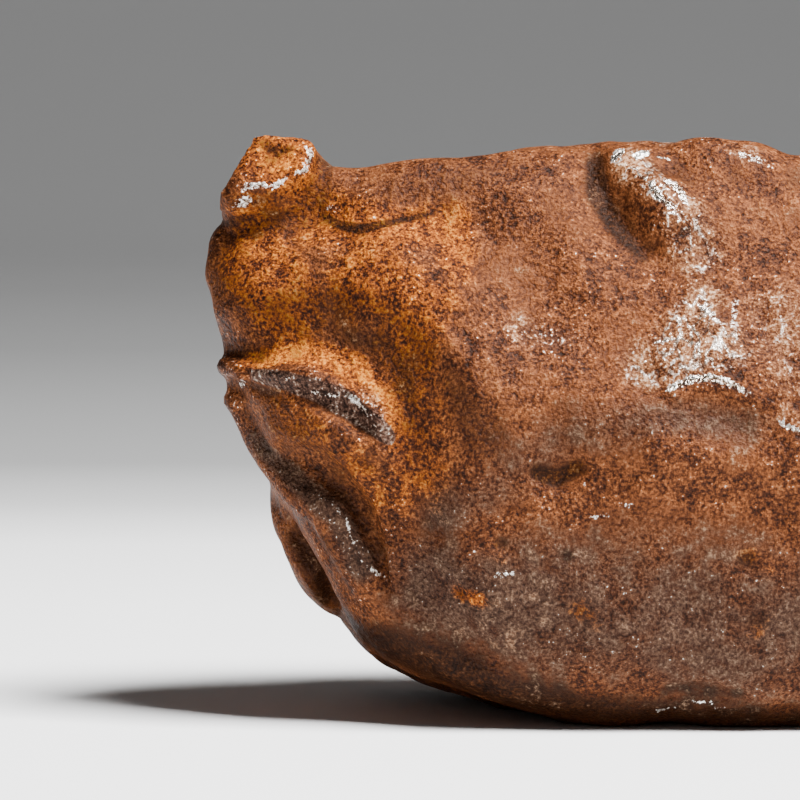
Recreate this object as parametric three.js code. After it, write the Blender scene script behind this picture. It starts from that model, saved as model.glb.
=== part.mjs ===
// Iron meteorite: one whole, rusted lump with its natural surface all round.
// Millimetres. X runs along its length, Y from the front to the back, Z is up.
// The origin is at the middle of its base, on the small flat that it rests on.
//
// A distance to the lump's surface is built up in order: flat sides that meet in soft edges,
// broad swells and hollows, two broken blocks and a lid standing out of the left end, sharp folds
// and pits, and last the fine unevenness of natural metal. The points of a finely divided box
// then settle on the surface, which gives one closed solid.

import * as THREE from 'three';
import { mergeVertices } from 'three/addons/utils/BufferGeometryUtils.js';

// Driving dimensions
const LENGTH = 55.0;
const DEPTH = 27.4;
const HEIGHT = 34.2;

// Softness of the edges where the flat sides meet
const EDGE_SOFTNESS = 0.8;

// Number of divisions along X, Y and Z of the box that is shaped into the lump
const DIVISIONS = [42, 20, 26];

// Half length of the line inside the lump from which its points start, its height, and a
// distance from it that is outside the lump everywhere
const CORE_HALF = 12;
const CORE_HEIGHT = 17;
const OUTSIDE = 24;

// The search for the surface along a line: the most steps, the share of the distance that one
// step takes, the shortest and longest step, and how near counts as on the surface
const MOST_STEPS = 400;
const STEP_SHARE = 0.7;
const SHORTEST_STEP = 0.06;
const LONGEST_STEP = 3;
const ON_SURFACE = 0.005;

// Distances over which slopes are taken, coarse for laying forms and fine for settling points
const LAYING_SLOPE = 0.05;
const SETTLING_SLOPE = 0.04;

// Settling: the rounds, the longest pull onto the surface, and the share of a slide that is taken
const SETTLING_ROUNDS = 30;
const LONGEST_PULL = 0.35;
const SLIDE_SHARE = 0.7;

// Where the points crowd together: on the front, in front of this y, and about this place on the
// left end, within these distances of it
const CROWDED_FRONT = { extra: 0.9, y: -3 };
const CROWDED_LEFT = { extra: 2, middle: [-22, -6, 22], reach: [9, 8, 14] };

// Heights below this one belong to the flat at the base
const FLAT_BELOW = 0.08;

// The flat sides: the way each faces, and a point that it passes through
const SIDES = [
  [[0.0, -1.0, -0.06], [0, -13.2, 10]], // front, low
  [[0.02, -0.82, 0.57], [-2, -13.2, 20.1]], // front, high
  [[-0.5, -0.84, -0.22], [-18, -9.8, 12]], // front left, low
  [[-0.4, -0.82, 0.42], [-19, -8.6, 26]], // front left, high
  [[0.5, -0.85, -0.1], [17, -10.5, 12]], // front right, low
  [[0.45, -0.7, 0.55], [16.5, -7, 25]], // front right, high
  [[0.09, 0.1, 1.0], [-3, 0, 34.3]], // top
  [[-0.08, 0.12, 1.0], [-18, 0, 32.8]], // top, left
  [[-1.0, 0.06, -0.3], [-27.5, 0, 25.5]], // left end
  [[-0.9, 0.0, 0.45], [-27.2, 0, 28]], // left end, high
  [[-0.86, -0.12, -0.46], [-23.3, 0, 12.5]], // left end, low
  [[-0.52, -0.15, -0.85], [-17.9, 0, 2.6]], // left, under
  [[-0.27, -0.12, -0.95], [-12.6, 0, 0.6]], // bottom, left
  [[0.0, 0.0, -1.0], [0, 0, -0.6]], // bottom
  [[0.0, -0.72, -0.7], [0, -11.3, 1.0]], // bottom, front
  [[0.05, 0.62, -0.78], [0, 9.4, 1.8]], // bottom, back
  [[0.05, 1.0, -0.08], [0, 11.8, 12]], // back, low
  [[-0.05, 0.74, 0.66], [0, 8.6, 28]], // back, high
  [[-0.62, 0.78, 0.02], [-19, 8.2, 16]], // back, left
  [[0.6, 0.8, 0.05], [18, 8.8, 16]], // back, right
  [[1.0, 0.05, -0.12], [27.4, 0, 15]], // right end
  [[0.62, 0.05, 0.78], [19.5, 0, 28]], // right end, high
  [[0.66, 0.0, -0.75], [20.5, 0, 3.6]], // right end, low
];

// Broad forms laid on the flat sides. A swell rises and a hollow sinks, softly, along a line of
// points, each [across, up, width, height] as seen from its side. From the top: [x, y, ...].
const BROAD = [
  { name: 'pillow', kind: 'swell', from: 'front', line: [[-23.8, 25.8, 4.6, 0.8]] },
  { name: 'brow', kind: 'swell', from: 'front',
    line: [[-19.8, 27.3, 3.2, 0.5], [-15.8, 26.9, 3.0, 0.6], [-12.9, 25.3, 2.6, 0.4]] },
  { name: 'spur', kind: 'swell', from: 'front',
    line: [[1.0, 24.6, 3.6, 0.3], [1.6, 22.4, 4.4, 0.6], [2.6, 21.2, 4.0, 0.5]] },
  { name: 'belly', kind: 'swell', from: 'front',
    line: [[-22.6, 17.5, 2.4, 0.7], [-20.6, 16.5, 2.6, 0.8], [-19.0, 14.9, 2.6, 0.6]] },
  { name: 'scar under the lid', kind: 'hollow', from: 'front',
    line: [[-24.2, 20.2, 1.1, 0.4], [-22.5, 19.9, 1.2, 0.6], [-21.0, 19.5, 1.2, 0.8],
      [-19.8, 18.8, 1.2, 0.9], [-18.6, 17.9, 1.2, 0.9], [-17.8, 17.2, 1.0, 0.6]] },
  { name: 'trough behind the lid', kind: 'hollow', from: 'front',
    line: [[-20.5, 22.3, 1.6, 0.3], [-18.7, 21.4, 1.8, 0.5], [-17.0, 20.0, 1.9, 0.6],
      [-15.9, 18.4, 1.8, 0.5], [-15.6, 16.7, 1.6, 0.2]] },
  { name: 'valley', kind: 'hollow', from: 'front',
    line: [[-26.2, 22.1, 2.0, 0.5], [-23.0, 22.7, 2.6, 0.8], [-19.9, 22.9, 3.2, 1.3],
      [-16.7, 21.9, 3.6, 1.5], [-14.6, 19.2, 3.5, 1.3], [-13.9, 16.0, 3.2, 0.9],
      [-13.7, 12.5, 3.0, 0.4]] },
  { name: 'neck', kind: 'hollow', from: 'front',
    line: [[-26.6, 28.8, 1.0, 0.4], [-24.9, 29.4, 1.2, 0.4], [-22.2, 29.8, 1.2, 0.4],
      [-19.8, 29.8, 1.1, 0.25]] },
  { name: 'brow hollow', kind: 'hollow', from: 'front',
    line: [[-14.6, 29.6, 2.4, 0.3], [-8.8, 28.2, 3.6, 0.5], [-6.6, 23.1, 3.6, 0.35]] },
  { name: 'hollow beside the knob', kind: 'hollow', from: 'front',
    line: [[-3.7, 32.9, 2.2, 0.4], [-3.7, 31.2, 2.6, 0.6], [-3.0, 29.6, 2.6, 0.6],
      [-1.8, 28.0, 2.2, 0.35], [-1.0, 27.0, 1.8, 0.1]] },
  { name: 'rise behind the knob', kind: 'swell', from: 'front',
    line: [[0.8, 31.8, 3.2, 0.5], [1.6, 29.4, 3.8, 0.7], [2.4, 27.2, 3.4, 0.2]] },
  { name: 'dip under the spur', kind: 'hollow', from: 'front',
    line: [[0.3, 17.9, 2.2, 0.4], [2.6, 18.2, 2.4, 0.5], [4.9, 17.6, 2.2, 0.3]] },
  { name: 'ripple 1', kind: 'hollow', from: 'front',
    line: [[-11.8, 17.5, 2.4, 0.35], [-10.0, 12.3, 2.6, 0.3]] },
  { name: 'ripple 2', kind: 'swell', from: 'front',
    line: [[-4.4, 17.8, 3.0, 0.25], [1.3, 16.9, 3.2, 0.3]] },
  { name: 'ripple 3', kind: 'hollow', from: 'front',
    line: [[-3.2, 10.9, 3.2, 0.3], [4.8, 12.4, 3.0, 0.4]] },
  { name: 'ripple 4', kind: 'swell', from: 'front',
    line: [[-8.9, 7.1, 3.4, 0.35], [-2.0, 6.0, 3.4, 0.3]] },
  { name: 'ripple 5', kind: 'hollow', from: 'front',
    line: [[-14.0, 8.7, 2.6, 0.35], [-11.7, 4.7, 2.6, 0.4]] },
  { name: 'saddle', kind: 'hollow', from: 'top',
    line: [[-17.5, -2.0, 4.0, 0.8], [-12.0, -1.0, 4.0, 0.3]] },
  { name: 'top dent 1', kind: 'hollow', from: 'top', line: [[-8.0, 3.0, 4.6, 1.0]] },
  { name: 'top dent 2', kind: 'hollow', from: 'top',
    line: [[7.0, 1.0, 4.6, 0.9], [12.0, 2.0, 3.6, 0.6]] },
  { name: 'right dent', kind: 'hollow', from: 'front', line: [[13.5, 21.0, 5.2, 1.2]] },
  { name: 'right ridge', kind: 'swell', from: 'front',
    line: [[10.5, 30.0, 2.2, 0.5], [18.0, 26.0, 2.8, 1.1], [21.5, 17.0, 2.8, 1.0]] },
  { name: 'right dent, low', kind: 'hollow', from: 'front', line: [[15.0, 9.0, 4.6, 0.9]] },
  { name: 'end cheek', kind: 'swell', from: 'right', line: [[-4.0, 12.0, 4.4, 0.8]] },
  { name: 'end hollow', kind: 'hollow', from: 'right', line: [[2.0, 20.0, 4.2, 1.3]] },
  { name: 'thumbprint 1', kind: 'hollow', from: 'back', line: [[-15.5, 21.0, 5.2, 1.9]] },
  { name: 'thumbprint 2', kind: 'hollow', from: 'back', line: [[-6.5, 11.5, 5.6, 2.1]] },
  { name: 'thumbprint 3', kind: 'hollow', from: 'back', line: [[6.5, 23.5, 6.0, 2.0]] },
  { name: 'thumbprint 4', kind: 'hollow', from: 'back', line: [[15.0, 10.5, 5.4, 1.9]] },
  { name: 'thumbprint 5', kind: 'hollow', from: 'back', line: [[-19.0, 10.5, 3.8, 1.2]] },
  { name: 'thumbprint 6', kind: 'hollow', from: 'back', line: [[-5.0, 27.5, 3.6, 0.8]] },
  { name: 'back ridge', kind: 'swell', from: 'back',
    line: [[-9.0, 30.0, 2.2, 0.6], [-2.0, 20.0, 2.4, 0.9], [5.0, 13.0, 2.6, 0.9],
      [8.0, 5.0, 2.4, 0.5]] },
];

// Broken blocks with flat sides of their own, joined to the lump before its sharp forms are laid
const BLOCKS = [
  { name: 'horn', middle: [-23.3, -2.4, 32.3], reach: 4.6, softness: 0.2, blend: 0.7,
    sides: [
      [[-0.06, -0.76, 0.62], [-23.4, -4.9, 32.8]], // shelf, facing the front and up
      [[0.05, -0.94, -0.22], [-23.9, -5.95, 31.2]], // neck under its brim
      [[0.5, -0.82, -0.25], [-22.0, -5.92, 31.68]], // neck under its brim, right
      [[0.0, -0.66, -0.75], [-23.9, -5.5, 29.9]], // foot of the neck
      [[-0.92, 0.0, 0.39], [-25.95, -4.9, 31.53]], // outer side
      [[-0.8, 0.6, 0.1], [-25.6, -3.7, 31.6]], // outer side, back
      [[0.0, 0.2, -1.0], [-23.9, -4.9, 29.5]], // underside
      [[0.36, 0.3, 1.0], [-23.9, -4.9, 35.1]], // crown
      [[0.9, -0.35, 0.1], [-21.1, -5.24, 32.6]], // inner side
      [[0.1, 1.0, 0.2], [-23.4, 1.6, 32.2]], // rear
    ] },
  { name: 'foot lump', middle: [-21.6, -1.0, 9.8], reach: 4.2, softness: 0.45, blend: 0.5,
    sides: [
      [[-0.5, -0.8, 0.15], [-21.6, -3.4, 9.8]], // front
      [[-0.97, 0.05, -0.24], [-23.0, -3.4, 9.8]], // outer side
      [[-0.55, -0.25, 0.8], [-22.9, -3.4, 11.7]], // upper side
      [[-0.6, -0.15, -0.78], [-21.7, -3.4, 7.5]], // underside
      [[0, 1, 0], [-21.6, 2.6, 9.8]], // rear
      [[1, -0.2, 0], [-19.9, -3.4, 9.8]], // inner side
    ] },
];

// The lid over the groove on the left end, a block that is joined after them
const LID = { middle: [-20.4, -10.2, 19.6], reach: 5.5, softness: 0.14, blend: 0.35,
  sides: [
    [[-0.29, -0.4, 0.88], [-23.7, -8.9, 20.75]], // crest, left
    [[0.0, -0.45, 0.88], [-21.8, -10.15, 20.62]], // crest, middle
    [[0.465, -0.55, 0.67], [-19.0, -10.62, 19.25]], // crest, right
    [[0.9, -0.4, 0.2], [-17.0, -10.5, 17.4]], // crest, end
    [[-0.36, -0.82, -0.44], [-19.8, -11.3, 21.0]], // broken face under the crest
    [[-0.62, -0.7, -0.36], [-23.2, -9.4, 20.8]], // broken face, left
    [[-0.85, 0.45, -0.25], [-25.0, -6.9, 20.2]], // outer side
    [[-0.45, 0.0, -0.9], [-22.8, -9.0, 19.25]], // underside
    [[0, 1, 0], [-20.4, -4.0, 20.2]], // rear
  ] };

// Sharp forms laid on what is there by then. A fold is a raised bead along a line of points,
// each [across, up, half width, height], and a hollow is as above.
const SHARP = [
  { name: 'crack over the brow', kind: 'hollow', from: 'front',
    line: [[-20.7, 29.2, 0.35, 0.05], [-19.6, 28.85, 0.5, 0.25], [-18.7, 28.65, 0.55, 0.5],
      [-17.8, 28.7, 0.5, 0.45], [-16.9, 28.95, 0.45, 0.25], [-15.3, 29.4, 0.4, 0.15],
      [-13.4, 30.1, 0.4, 0.03]] },
  { name: 'small bump', kind: 'swell', from: 'front', line: [[-19.8, 29.95, 0.6, 0.22]] },
  { name: 'brim of the horn', kind: 'fold', blend: 0.25, from: 'front',
    line: [[-25.1, 31.2, 0.3, 0.12], [-24.2, 31.3, 0.3, 0.15], [-23.2, 31.45, 0.3, 0.15],
      [-22.1, 31.8, 0.3, 0.15], [-21.5, 32.2, 0.3, 0.15], [-21.15, 32.7, 0.3, 0.12],
      [-21.05, 33.3, 0.25, 0.06]] },
  { name: 'scale on the shelf', kind: 'swell', from: 'front',
    line: [[-23.3, 33.75, 0.7, 0.2], [-22.7, 33.65, 0.7, 0.2]] },
  { name: 'crack under the scale', kind: 'hollow', from: 'front',
    line: [[-23.7, 33.65, 0.3, 0.15], [-23.35, 33.25, 0.35, 0.25], [-22.85, 33.1, 0.35, 0.25],
      [-22.2, 33.25, 0.3, 0.12]] },
  { name: 'raised edge under the broken face', kind: 'fold', blend: 0.7, from: 'front',
    line: [[-24.0, 19.4, 0.3, 0.08], [-22.8, 19.05, 0.4, 0.18], [-21.8, 18.6, 0.45, 0.25],
      [-20.7, 18.05, 0.5, 0.3], [-19.5, 17.3, 0.5, 0.3], [-18.4, 16.7, 0.4, 0.2],
      [-17.3, 16.3, 0.25, 0.06]] },
  { name: 'groove above the rim', kind: 'hollow', from: 'front',
    line: [[-22.6, 16.1, 1.0, 0.5], [-20.8, 15.5, 1.3, 1.3], [-19.3, 14.0, 1.4, 1.6],
      [-18.1, 12.3, 1.4, 1.6], [-17.3, 10.3, 1.2, 1.1], [-16.6, 8.1, 0.9, 0.4]] },
  { name: 'crease beside the foot', kind: 'hollow', from: 'front',
    line: [[-21.8, 10.6, 1.0, 0.6], [-20.6, 8.5, 1.2, 1.1], [-19.7, 6.5, 1.1, 0.8]] },
  { name: 'rim', kind: 'fold', blend: 0.5, from: 'front',
    line: [[-24.6, 17.2, 0.9, 0.4], [-23.6, 15.4, 1.1, 0.8], [-21.8, 13.9, 1.2, 0.9],
      [-19.9, 12.4, 1.1, 0.9], [-18.8, 10.3, 1.0, 0.9], [-17.6, 8.1, 1.0, 0.5],
      [-16.0, 6.1, 1.1, 0.2]] },
  { name: 'foot of the knob', kind: 'swell', from: 'front',
    line: [[-0.9, 29.8, 2.0, 0.5], [0.2, 28.2, 2.0, 0.4], [1.0, 26.9, 1.6, 0.1]] },
  { name: 'knob', kind: 'fold', blend: 1.2, from: 'front',
    line: [[-2.3, 32.0, 1.3, 0.9], [-1.3, 30.7, 1.5, 1.2], [-0.2, 29.3, 1.2, 0.8]] },
  { name: 'knob cap', kind: 'fold', blend: 0.6, from: 'front',
    line: [[-2.9, 32.9, 0.7, 0.45], [-1.7, 32.8, 0.7, 0.45], [-0.6, 32.5, 0.6, 0.35]] },
  { name: 'knob boss', kind: 'fold', blend: 0.6, from: 'front',
    line: [[-0.1, 30.7, 0.8, 0.4]] },
  { name: 'bright ledge', kind: 'fold', blend: 0.4, from: 'front',
    line: [[-0.5, 19.6, 0.2, 0.05], [0.9, 20.25, 0.3, 0.12], [2.6, 20.3, 0.3, 0.12],
      [4.0, 19.75, 0.3, 0.1], [5.0, 19.15, 0.2, 0.05]] },
  { name: 'top bump 1', kind: 'fold', blend: 0.8, from: 'front', line: [[2.6, 33.2, 1.5, 0.6]] },
  { name: 'top bump 2', kind: 'fold', blend: 0.8, from: 'front', line: [[4.8, 32.8, 1.2, 0.3]] },
  { name: 'pit', kind: 'hollow', from: 'front',
    line: [[-7.9, 15.0, 0.9, 0.5], [-6.9, 14.8, 1.1, 0.7], [-5.8, 15.4, 1.0, 0.75]] },
  { name: 'pit 2', kind: 'hollow', from: 'front', line: [[-6.2, 10.3, 0.6, 0.25]] },
  { name: 'pit 3', kind: 'hollow', from: 'front', line: [[-12.0, 8.1, 0.8, 0.3]] },
  { name: 'pit 4', kind: 'hollow', from: 'front', line: [[4.0, 9.9, 1.0, 0.35]] },
  { name: 'pit 5', kind: 'hollow', from: 'front', line: [[-10.0, 11.0, 0.7, 0.25]] },
  { name: 'pit 6', kind: 'hollow', from: 'front', line: [[4.6, 6.5, 0.9, 0.3]] },
  { name: 'bottom lip', kind: 'fold', blend: 0.3, from: 'front',
    line: [[-1.1, 1.4, 0.3, 0.12], [0.9, 1.4, 0.45, 0.3], [3.5, 1.6, 0.35, 0.15]] },
  { name: 'above the bottom lip', kind: 'hollow', from: 'front',
    line: [[-0.5, 2.1, 0.9, 0.3], [1.5, 2.2, 1.0, 0.5], [3.8, 2.3, 0.9, 0.3]] },
  { name: 'right lip', kind: 'fold', blend: 0.6, from: 'front',
    line: [[19.5, 12.0, 0.8, 0.3], [22.0, 15.5, 1.2, 1.0], [23.5, 20.0, 1.2, 1.0],
      [22.5, 24.0, 0.8, 0.4]] },
  { name: 'back lip', kind: 'fold', blend: 0.6, from: 'back',
    line: [[-22.0, 26.0, 0.7, 0.3], [-17.0, 28.0, 1.1, 0.9], [-11.0, 27.2, 1.1, 0.9],
      [-6.5, 24.0, 0.8, 0.4]] },
  { name: 'back fold', kind: 'fold', blend: 0.5, from: 'back',
    line: [[12.0, 18.0, 0.7, 0.3], [15.0, 19.5, 1.0, 0.8], [19.5, 18.5, 1.0, 0.8],
      [22.0, 15.5, 0.7, 0.3]] },
  { name: 'back pit', kind: 'hollow', from: 'back', line: [[1.0, 8.5, 1.6, 1.0]] },
  { name: 'end fold', kind: 'fold', blend: 0.6, from: 'right',
    line: [[-6.0, 22.0, 0.8, 0.3], [-2.0, 24.5, 1.2, 0.9], [3.5, 24.0, 1.0, 0.6]] },
];

// Beads whose place in space is given outright: [x, y, z, radius]
const BEADS = [
  { name: 'neck', blend: 0.9, line: [[-24.7, -3.3, 29.6, 1.5], [-23.0, -3.8, 30.0, 1.5]] },
  { name: 'ball on the horn', blend: 0.22, line: [[-25.68, -5.55, 30.6, 0.78]] },
  { name: 'flank', blend: 0.9,
    line: [[-25.2, -3.5, 21.6, 0.9], [-25.2, -4.0, 19.6, 1.0], [-25.1, -4.2, 18.3, 1.0],
      [-24.5, -4.4, 16.8, 0.9], [-23.5, -4.4, 15.2, 0.7]] },
  { name: 'tail of the lid', blend: 0.6,
    line: [[-26.1, -3.6, 20.7, 0.7], [-25.9, -5.2, 20.8, 0.65], [-25.3, -6.8, 20.6, 0.55],
      [-24.8, -8.0, 20.3, 0.4]] },
  { name: 'smaller tail', blend: 0.5,
    line: [[-25.9, -4.0, 18.7, 0.55], [-25.6, -5.4, 18.6, 0.5], [-25.0, -6.6, 18.4, 0.35]] },
  { name: 'shoulder', blend: 1.0,
    line: [[-26.35, -1.5, 27.75, 0.8], [-26.45, -3.2, 27.4, 0.8], [-26.6, -3.6, 26.2, 0.75]] },
];

// Fine unevenness: [height, wavelength, seed], and the sideways wander of all the forms
const UNEVENNESS = [[0.3, 7.0, 4], [0.14, 3.0, 5], [0.06, 1.2, 6]];
const WANDER = { height: 0.25, wavelength: 4.0, seeds: [1, 2, 3] };

// Where each side is looked from: the axis it looks along, and the end it starts at
const LOOKS = { front: [1, -36], back: [1, 36], right: [0, 40], top: [2, 44] };

// Value noise: a smooth mix, from -1 to 1, of the values at the corners of the cell round a point
const NOISE_SIDE = 32;

function noiseTable(seed) {
  const table = new Float64Array(NOISE_SIDE ** 3);
  for (let i = 0; i < table.length; i += 1) {
    let v = (Math.imul(i, 2654435761) + seed * 97531) >>> 0;
    v = Math.imul(v ^ (v >>> 16), 0x45d9f3b) >>> 0;
    v = Math.imul(v ^ (v >>> 16), 0x45d9f3b) >>> 0;
    v = (v ^ (v >>> 16)) >>> 0;
    table[i] = (v / 0xffffffff) * 2 - 1;
  }
  return table;
}

const tables = new Map();
for (const seed of [1, 2, 3, 4, 5, 6]) tables.set(seed, noiseTable(seed));

function noise(x, y, z, wavelength, seed) {
  const table = tables.get(seed);
  const cell = [Math.floor(x / wavelength), Math.floor(y / wavelength), Math.floor(z / wavelength)];
  const part = [x / wavelength - cell[0], y / wavelength - cell[1], z / wavelength - cell[2]];
  const soft = part.map((t) => t * t * t * (t * (t * 6 - 15) + 10));
  let sum = 0;
  for (let corner = 0; corner < 8; corner += 1) {
    let weight = 1;
    let index = 0;
    for (let axis = 0; axis < 3; axis += 1) {
      const step = (corner >> axis) & 1;
      weight *= step ? soft[axis] : 1 - soft[axis];
      const place = (((cell[axis] + step) % NOISE_SIDE) + NOISE_SIDE) % NOISE_SIDE;
      index = index * NOISE_SIDE + place;
    }
    sum += weight * table[index];
  }
  return sum;
}

// Distance to a solid with flat sides, whose edges are rounded by a soft maximum
function flatSided(sides, softness) {
  const planes = sides.map(([facing, through]) => {
    const n = new THREE.Vector3(...facing).normalize();
    return [n.x, n.y, n.z, n.dot(new THREE.Vector3(...through))];
  });
  return (x, y, z) => {
    const each = planes.map(([a, b, c, d]) => a * x + b * y + c * z - d);
    const most = Math.max(...each);
    let sum = 0;
    for (const value of each) sum += Math.exp((value - most) / softness);
    return most + softness * Math.log(sum);
  };
}

// Nearest place on a line of points to a point: the share of the way along each stretch
function alongLine(line, x, y, z, visit) {
  const last = Math.max(line.length - 1, 1);
  for (let i = 0; i < last; i += 1) {
    const a = line[i];
    const b = line[Math.min(i + 1, line.length - 1)];
    const way = [b[0] - a[0], b[1] - a[1], b[2] - a[2]];
    const long = way[0] ** 2 + way[1] ** 2 + way[2] ** 2;
    const to = (x - a[0]) * way[0] + (y - a[1]) * way[1] + (z - a[2]) * way[2];
    const t = long > 0 ? Math.min(Math.max(to / long, 0), 1) : 0;
    const away = Math.hypot(x - a[0] - t * way[0], y - a[1] - t * way[1], z - a[2] - t * way[2]);
    visit(away, (k) => a[k] + t * (b[k] - a[k]));
  }
}

// Height of a soft form: one less the squared distance over the width, squared
function softHeight(line, x, y, z) {
  let most = 0;
  alongLine(line, x, y, z, (away, at) => {
    const u = Math.max(1 - (away / at(3)) ** 2, 0);
    most = Math.max(most, at(4) * u * u);
  });
  return most;
}

// Distance to a bead: balls joined by tapering rods
function beadDistance(line, x, y, z) {
  let least = Infinity;
  alongLine(line, x, y, z, (away, at) => {
    least = Math.min(least, away - at(3));
  });
  return least;
}

// The nearer of two distances, with a fillet where they meet
function filleted(a, b, blend) {
  const near = Math.max(blend - Math.abs(a - b), 0) / blend;
  return Math.min(a, b) - near * near * blend * 0.25;
}

// A layer changes the distance inside the box that it reaches. Beads and blocks have room to
// spare in it, so that the change fades before the box ends.
const SPARE = 0.8;

function layer(line, spare, change) {
  const low = [0, 1, 2].map((k) => Math.min(...line.map((p) => p[k])));
  const high = [0, 1, 2].map((k) => Math.max(...line.map((p) => p[k])));
  const reach = Math.max(...line.map((p) => p[3])) + spare;
  return {
    low: low.map((v) => v - reach),
    high: high.map((v) => v + reach),
    change,
  };
}

function softLayer(line, sign) {
  return layer(line, 0, (d, x, y, z) => d - sign * softHeight(line, x, y, z));
}

function beadLayer(line, blend) {
  return layer(line, blend + SPARE, (d, x, y, z) => (
    filleted(d, beadDistance(line, x, y, z), blend)));
}

function blockLayer(block) {
  const distance = flatSided(block.sides, block.softness);
  return layer([[...block.middle, block.reach]], block.blend + SPARE, (d, x, y, z) => (
    filleted(d, distance(x, y, z), block.blend)));
}

const bodyDistance = flatSided(SIDES, EDGE_SOFTNESS);

function surfaceOf(layers) {
  const fixed = [...layers];
  return (x, y, z) => {
    let d = bodyDistance(x, y, z);
    for (const { low, high, change } of fixed) {
      if (x > low[0] && x < high[0] && y > low[1] && y < high[1] && z > low[2] && z < high[2]) {
        d = change(d, x, y, z);
      }
    }
    return d;
  };
}

function facing(surface, [x, y, z]) {
  const h = LAYING_SLOPE;
  return new THREE.Vector3(
    surface(x + h, y, z) - surface(x - h, y, z),
    surface(x, y + h, z) - surface(x, y - h, z),
    surface(x, y, z + h) - surface(x, y, z - h),
  ).normalize();
}

// A point of the surface met by looking straight at it from one side. Where the look passes by,
// it is the point of the surface that the look passes nearest to.
function lookAt(surface, across, up, from) {
  const [axis, start] = LOOKS[from];
  const inward = -Math.sign(start);
  const point = [across, up];
  point.splice(axis, 0, start);
  let best = [...point];
  let bestDistance = Infinity;
  for (let i = 0; i < MOST_STEPS; i += 1) {
    const d = surface(...point);
    if (d < bestDistance) {
      bestDistance = d;
      best = [...point];
    }
    if (d < ON_SURFACE || point[axis] * inward > OUTSIDE) break;
    point[axis] += inward * Math.max(d * STEP_SHARE, 2 * ON_SURFACE);
  }
  for (let i = 0; i < 8 && bestDistance > ON_SURFACE; i += 1) {
    const n = facing(surface, best);
    const d = surface(...best) * STEP_SHARE;
    best = [best[0] - n.x * d, best[1] - n.y * d, best[2] - n.z * d];
  }
  return best;
}

// A form laid on a surface: soft forms lie on it, and a fold's beads are sunk to their height
function laid(surface, form) {
  const line = form.line.map(([across, up, width, height]) => {
    const place = lookAt(surface, across, up, form.from);
    if (form.kind !== 'fold') return [...place, width, height];
    const radius = height >= width ? width : (width ** 2 + height ** 2) / (2 * height);
    const n = facing(surface, place);
    const lift = height - radius;
    return [place[0] + n.x * lift, place[1] + n.y * lift, place[2] + n.z * lift, radius];
  });
  if (form.kind === 'fold') return beadLayer(line, form.blend);
  return softLayer(line, form.kind === 'swell' ? 1 : -1);
}

const layers = BROAD.map((form) => laid(bodyDistance, form));
layers.push(...BLOCKS.map(blockLayer));
const beforeSharp = surfaceOf(layers);
layers.push(blockLayer(LID));
layers.push(...SHARP.map((form) => laid(beforeSharp, form)));
layers.push(...BEADS.map(({ line, blend }) => beadLayer(line, blend)));
const formed = surfaceOf(layers);

// The whole distance: the forms, wandering a little, with the unevenness, cut flat at the base
function meteoriteDistance(x, y, z) {
  const [dx, dy, dz] = WANDER.seeds.map((seed) => (
    WANDER.height * noise(x, y, z, WANDER.wavelength, seed)));
  let d = formed(x + dx, y + dy, z + dz);
  for (const [height, wavelength, seed] of UNEVENNESS) d -= height * noise(x, y, z, wavelength, seed);
  return Math.max(d, -z);
}

// The way out from the core for a point of the box, whose sides run from -1 to 1. The points are
// spread evenly in angle, and a little closer together on the front and the left.
const SKEW = [-0.12, -0.12, 0];

function wayOut(point) {
  const [x, y, z] = point.toArray().map((t, axis) => (
    Math.tan(((t + SKEW[axis] * (1 - t * t)) * Math.PI) / 4)));
  return new THREE.Vector3(x, y, z).normalize();
}

// From outside inwards to the first point inside the lump, then halving the step
function outermost(way) {
  const start = new THREE.Vector3(CORE_HALF * way.x, 0, CORE_HEIGHT);
  const place = (t) => start.clone().addScaledVector(way, t);
  const at = (t) => meteoriteDistance(...place(t).toArray());
  let outside = OUTSIDE;
  let t = OUTSIDE;
  for (let i = 0; i < MOST_STEPS; i += 1) {
    const d = at(t);
    if (d < 0) break;
    outside = t;
    t -= Math.min(Math.max(d * STEP_SHARE, SHORTEST_STEP), LONGEST_STEP);
  }
  let inside = t;
  for (let i = 0; i < 8; i += 1) {
    const middle = (inside + outside) / 2;
    if (at(middle) < 0) inside = middle;
    else outside = middle;
  }
  return place((inside + outside) / 2);
}

// How closely the points crowd together: more on the front, and most on the left end's forms
function crowding(p) {
  const { middle, reach } = CROWDED_LEFT;
  const away = p.toArray().map((v, axis) => (v - middle[axis]) / reach[axis]);
  const left = Math.exp(-(away[0] ** 2) - away[1] ** 2 - away[2] ** 2);
  const front = 1 / (1 + Math.exp(p.y - CROWDED_FRONT.y));
  return 1 + CROWDED_FRONT.extra * front + CROWDED_LEFT.extra * left;
}

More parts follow.
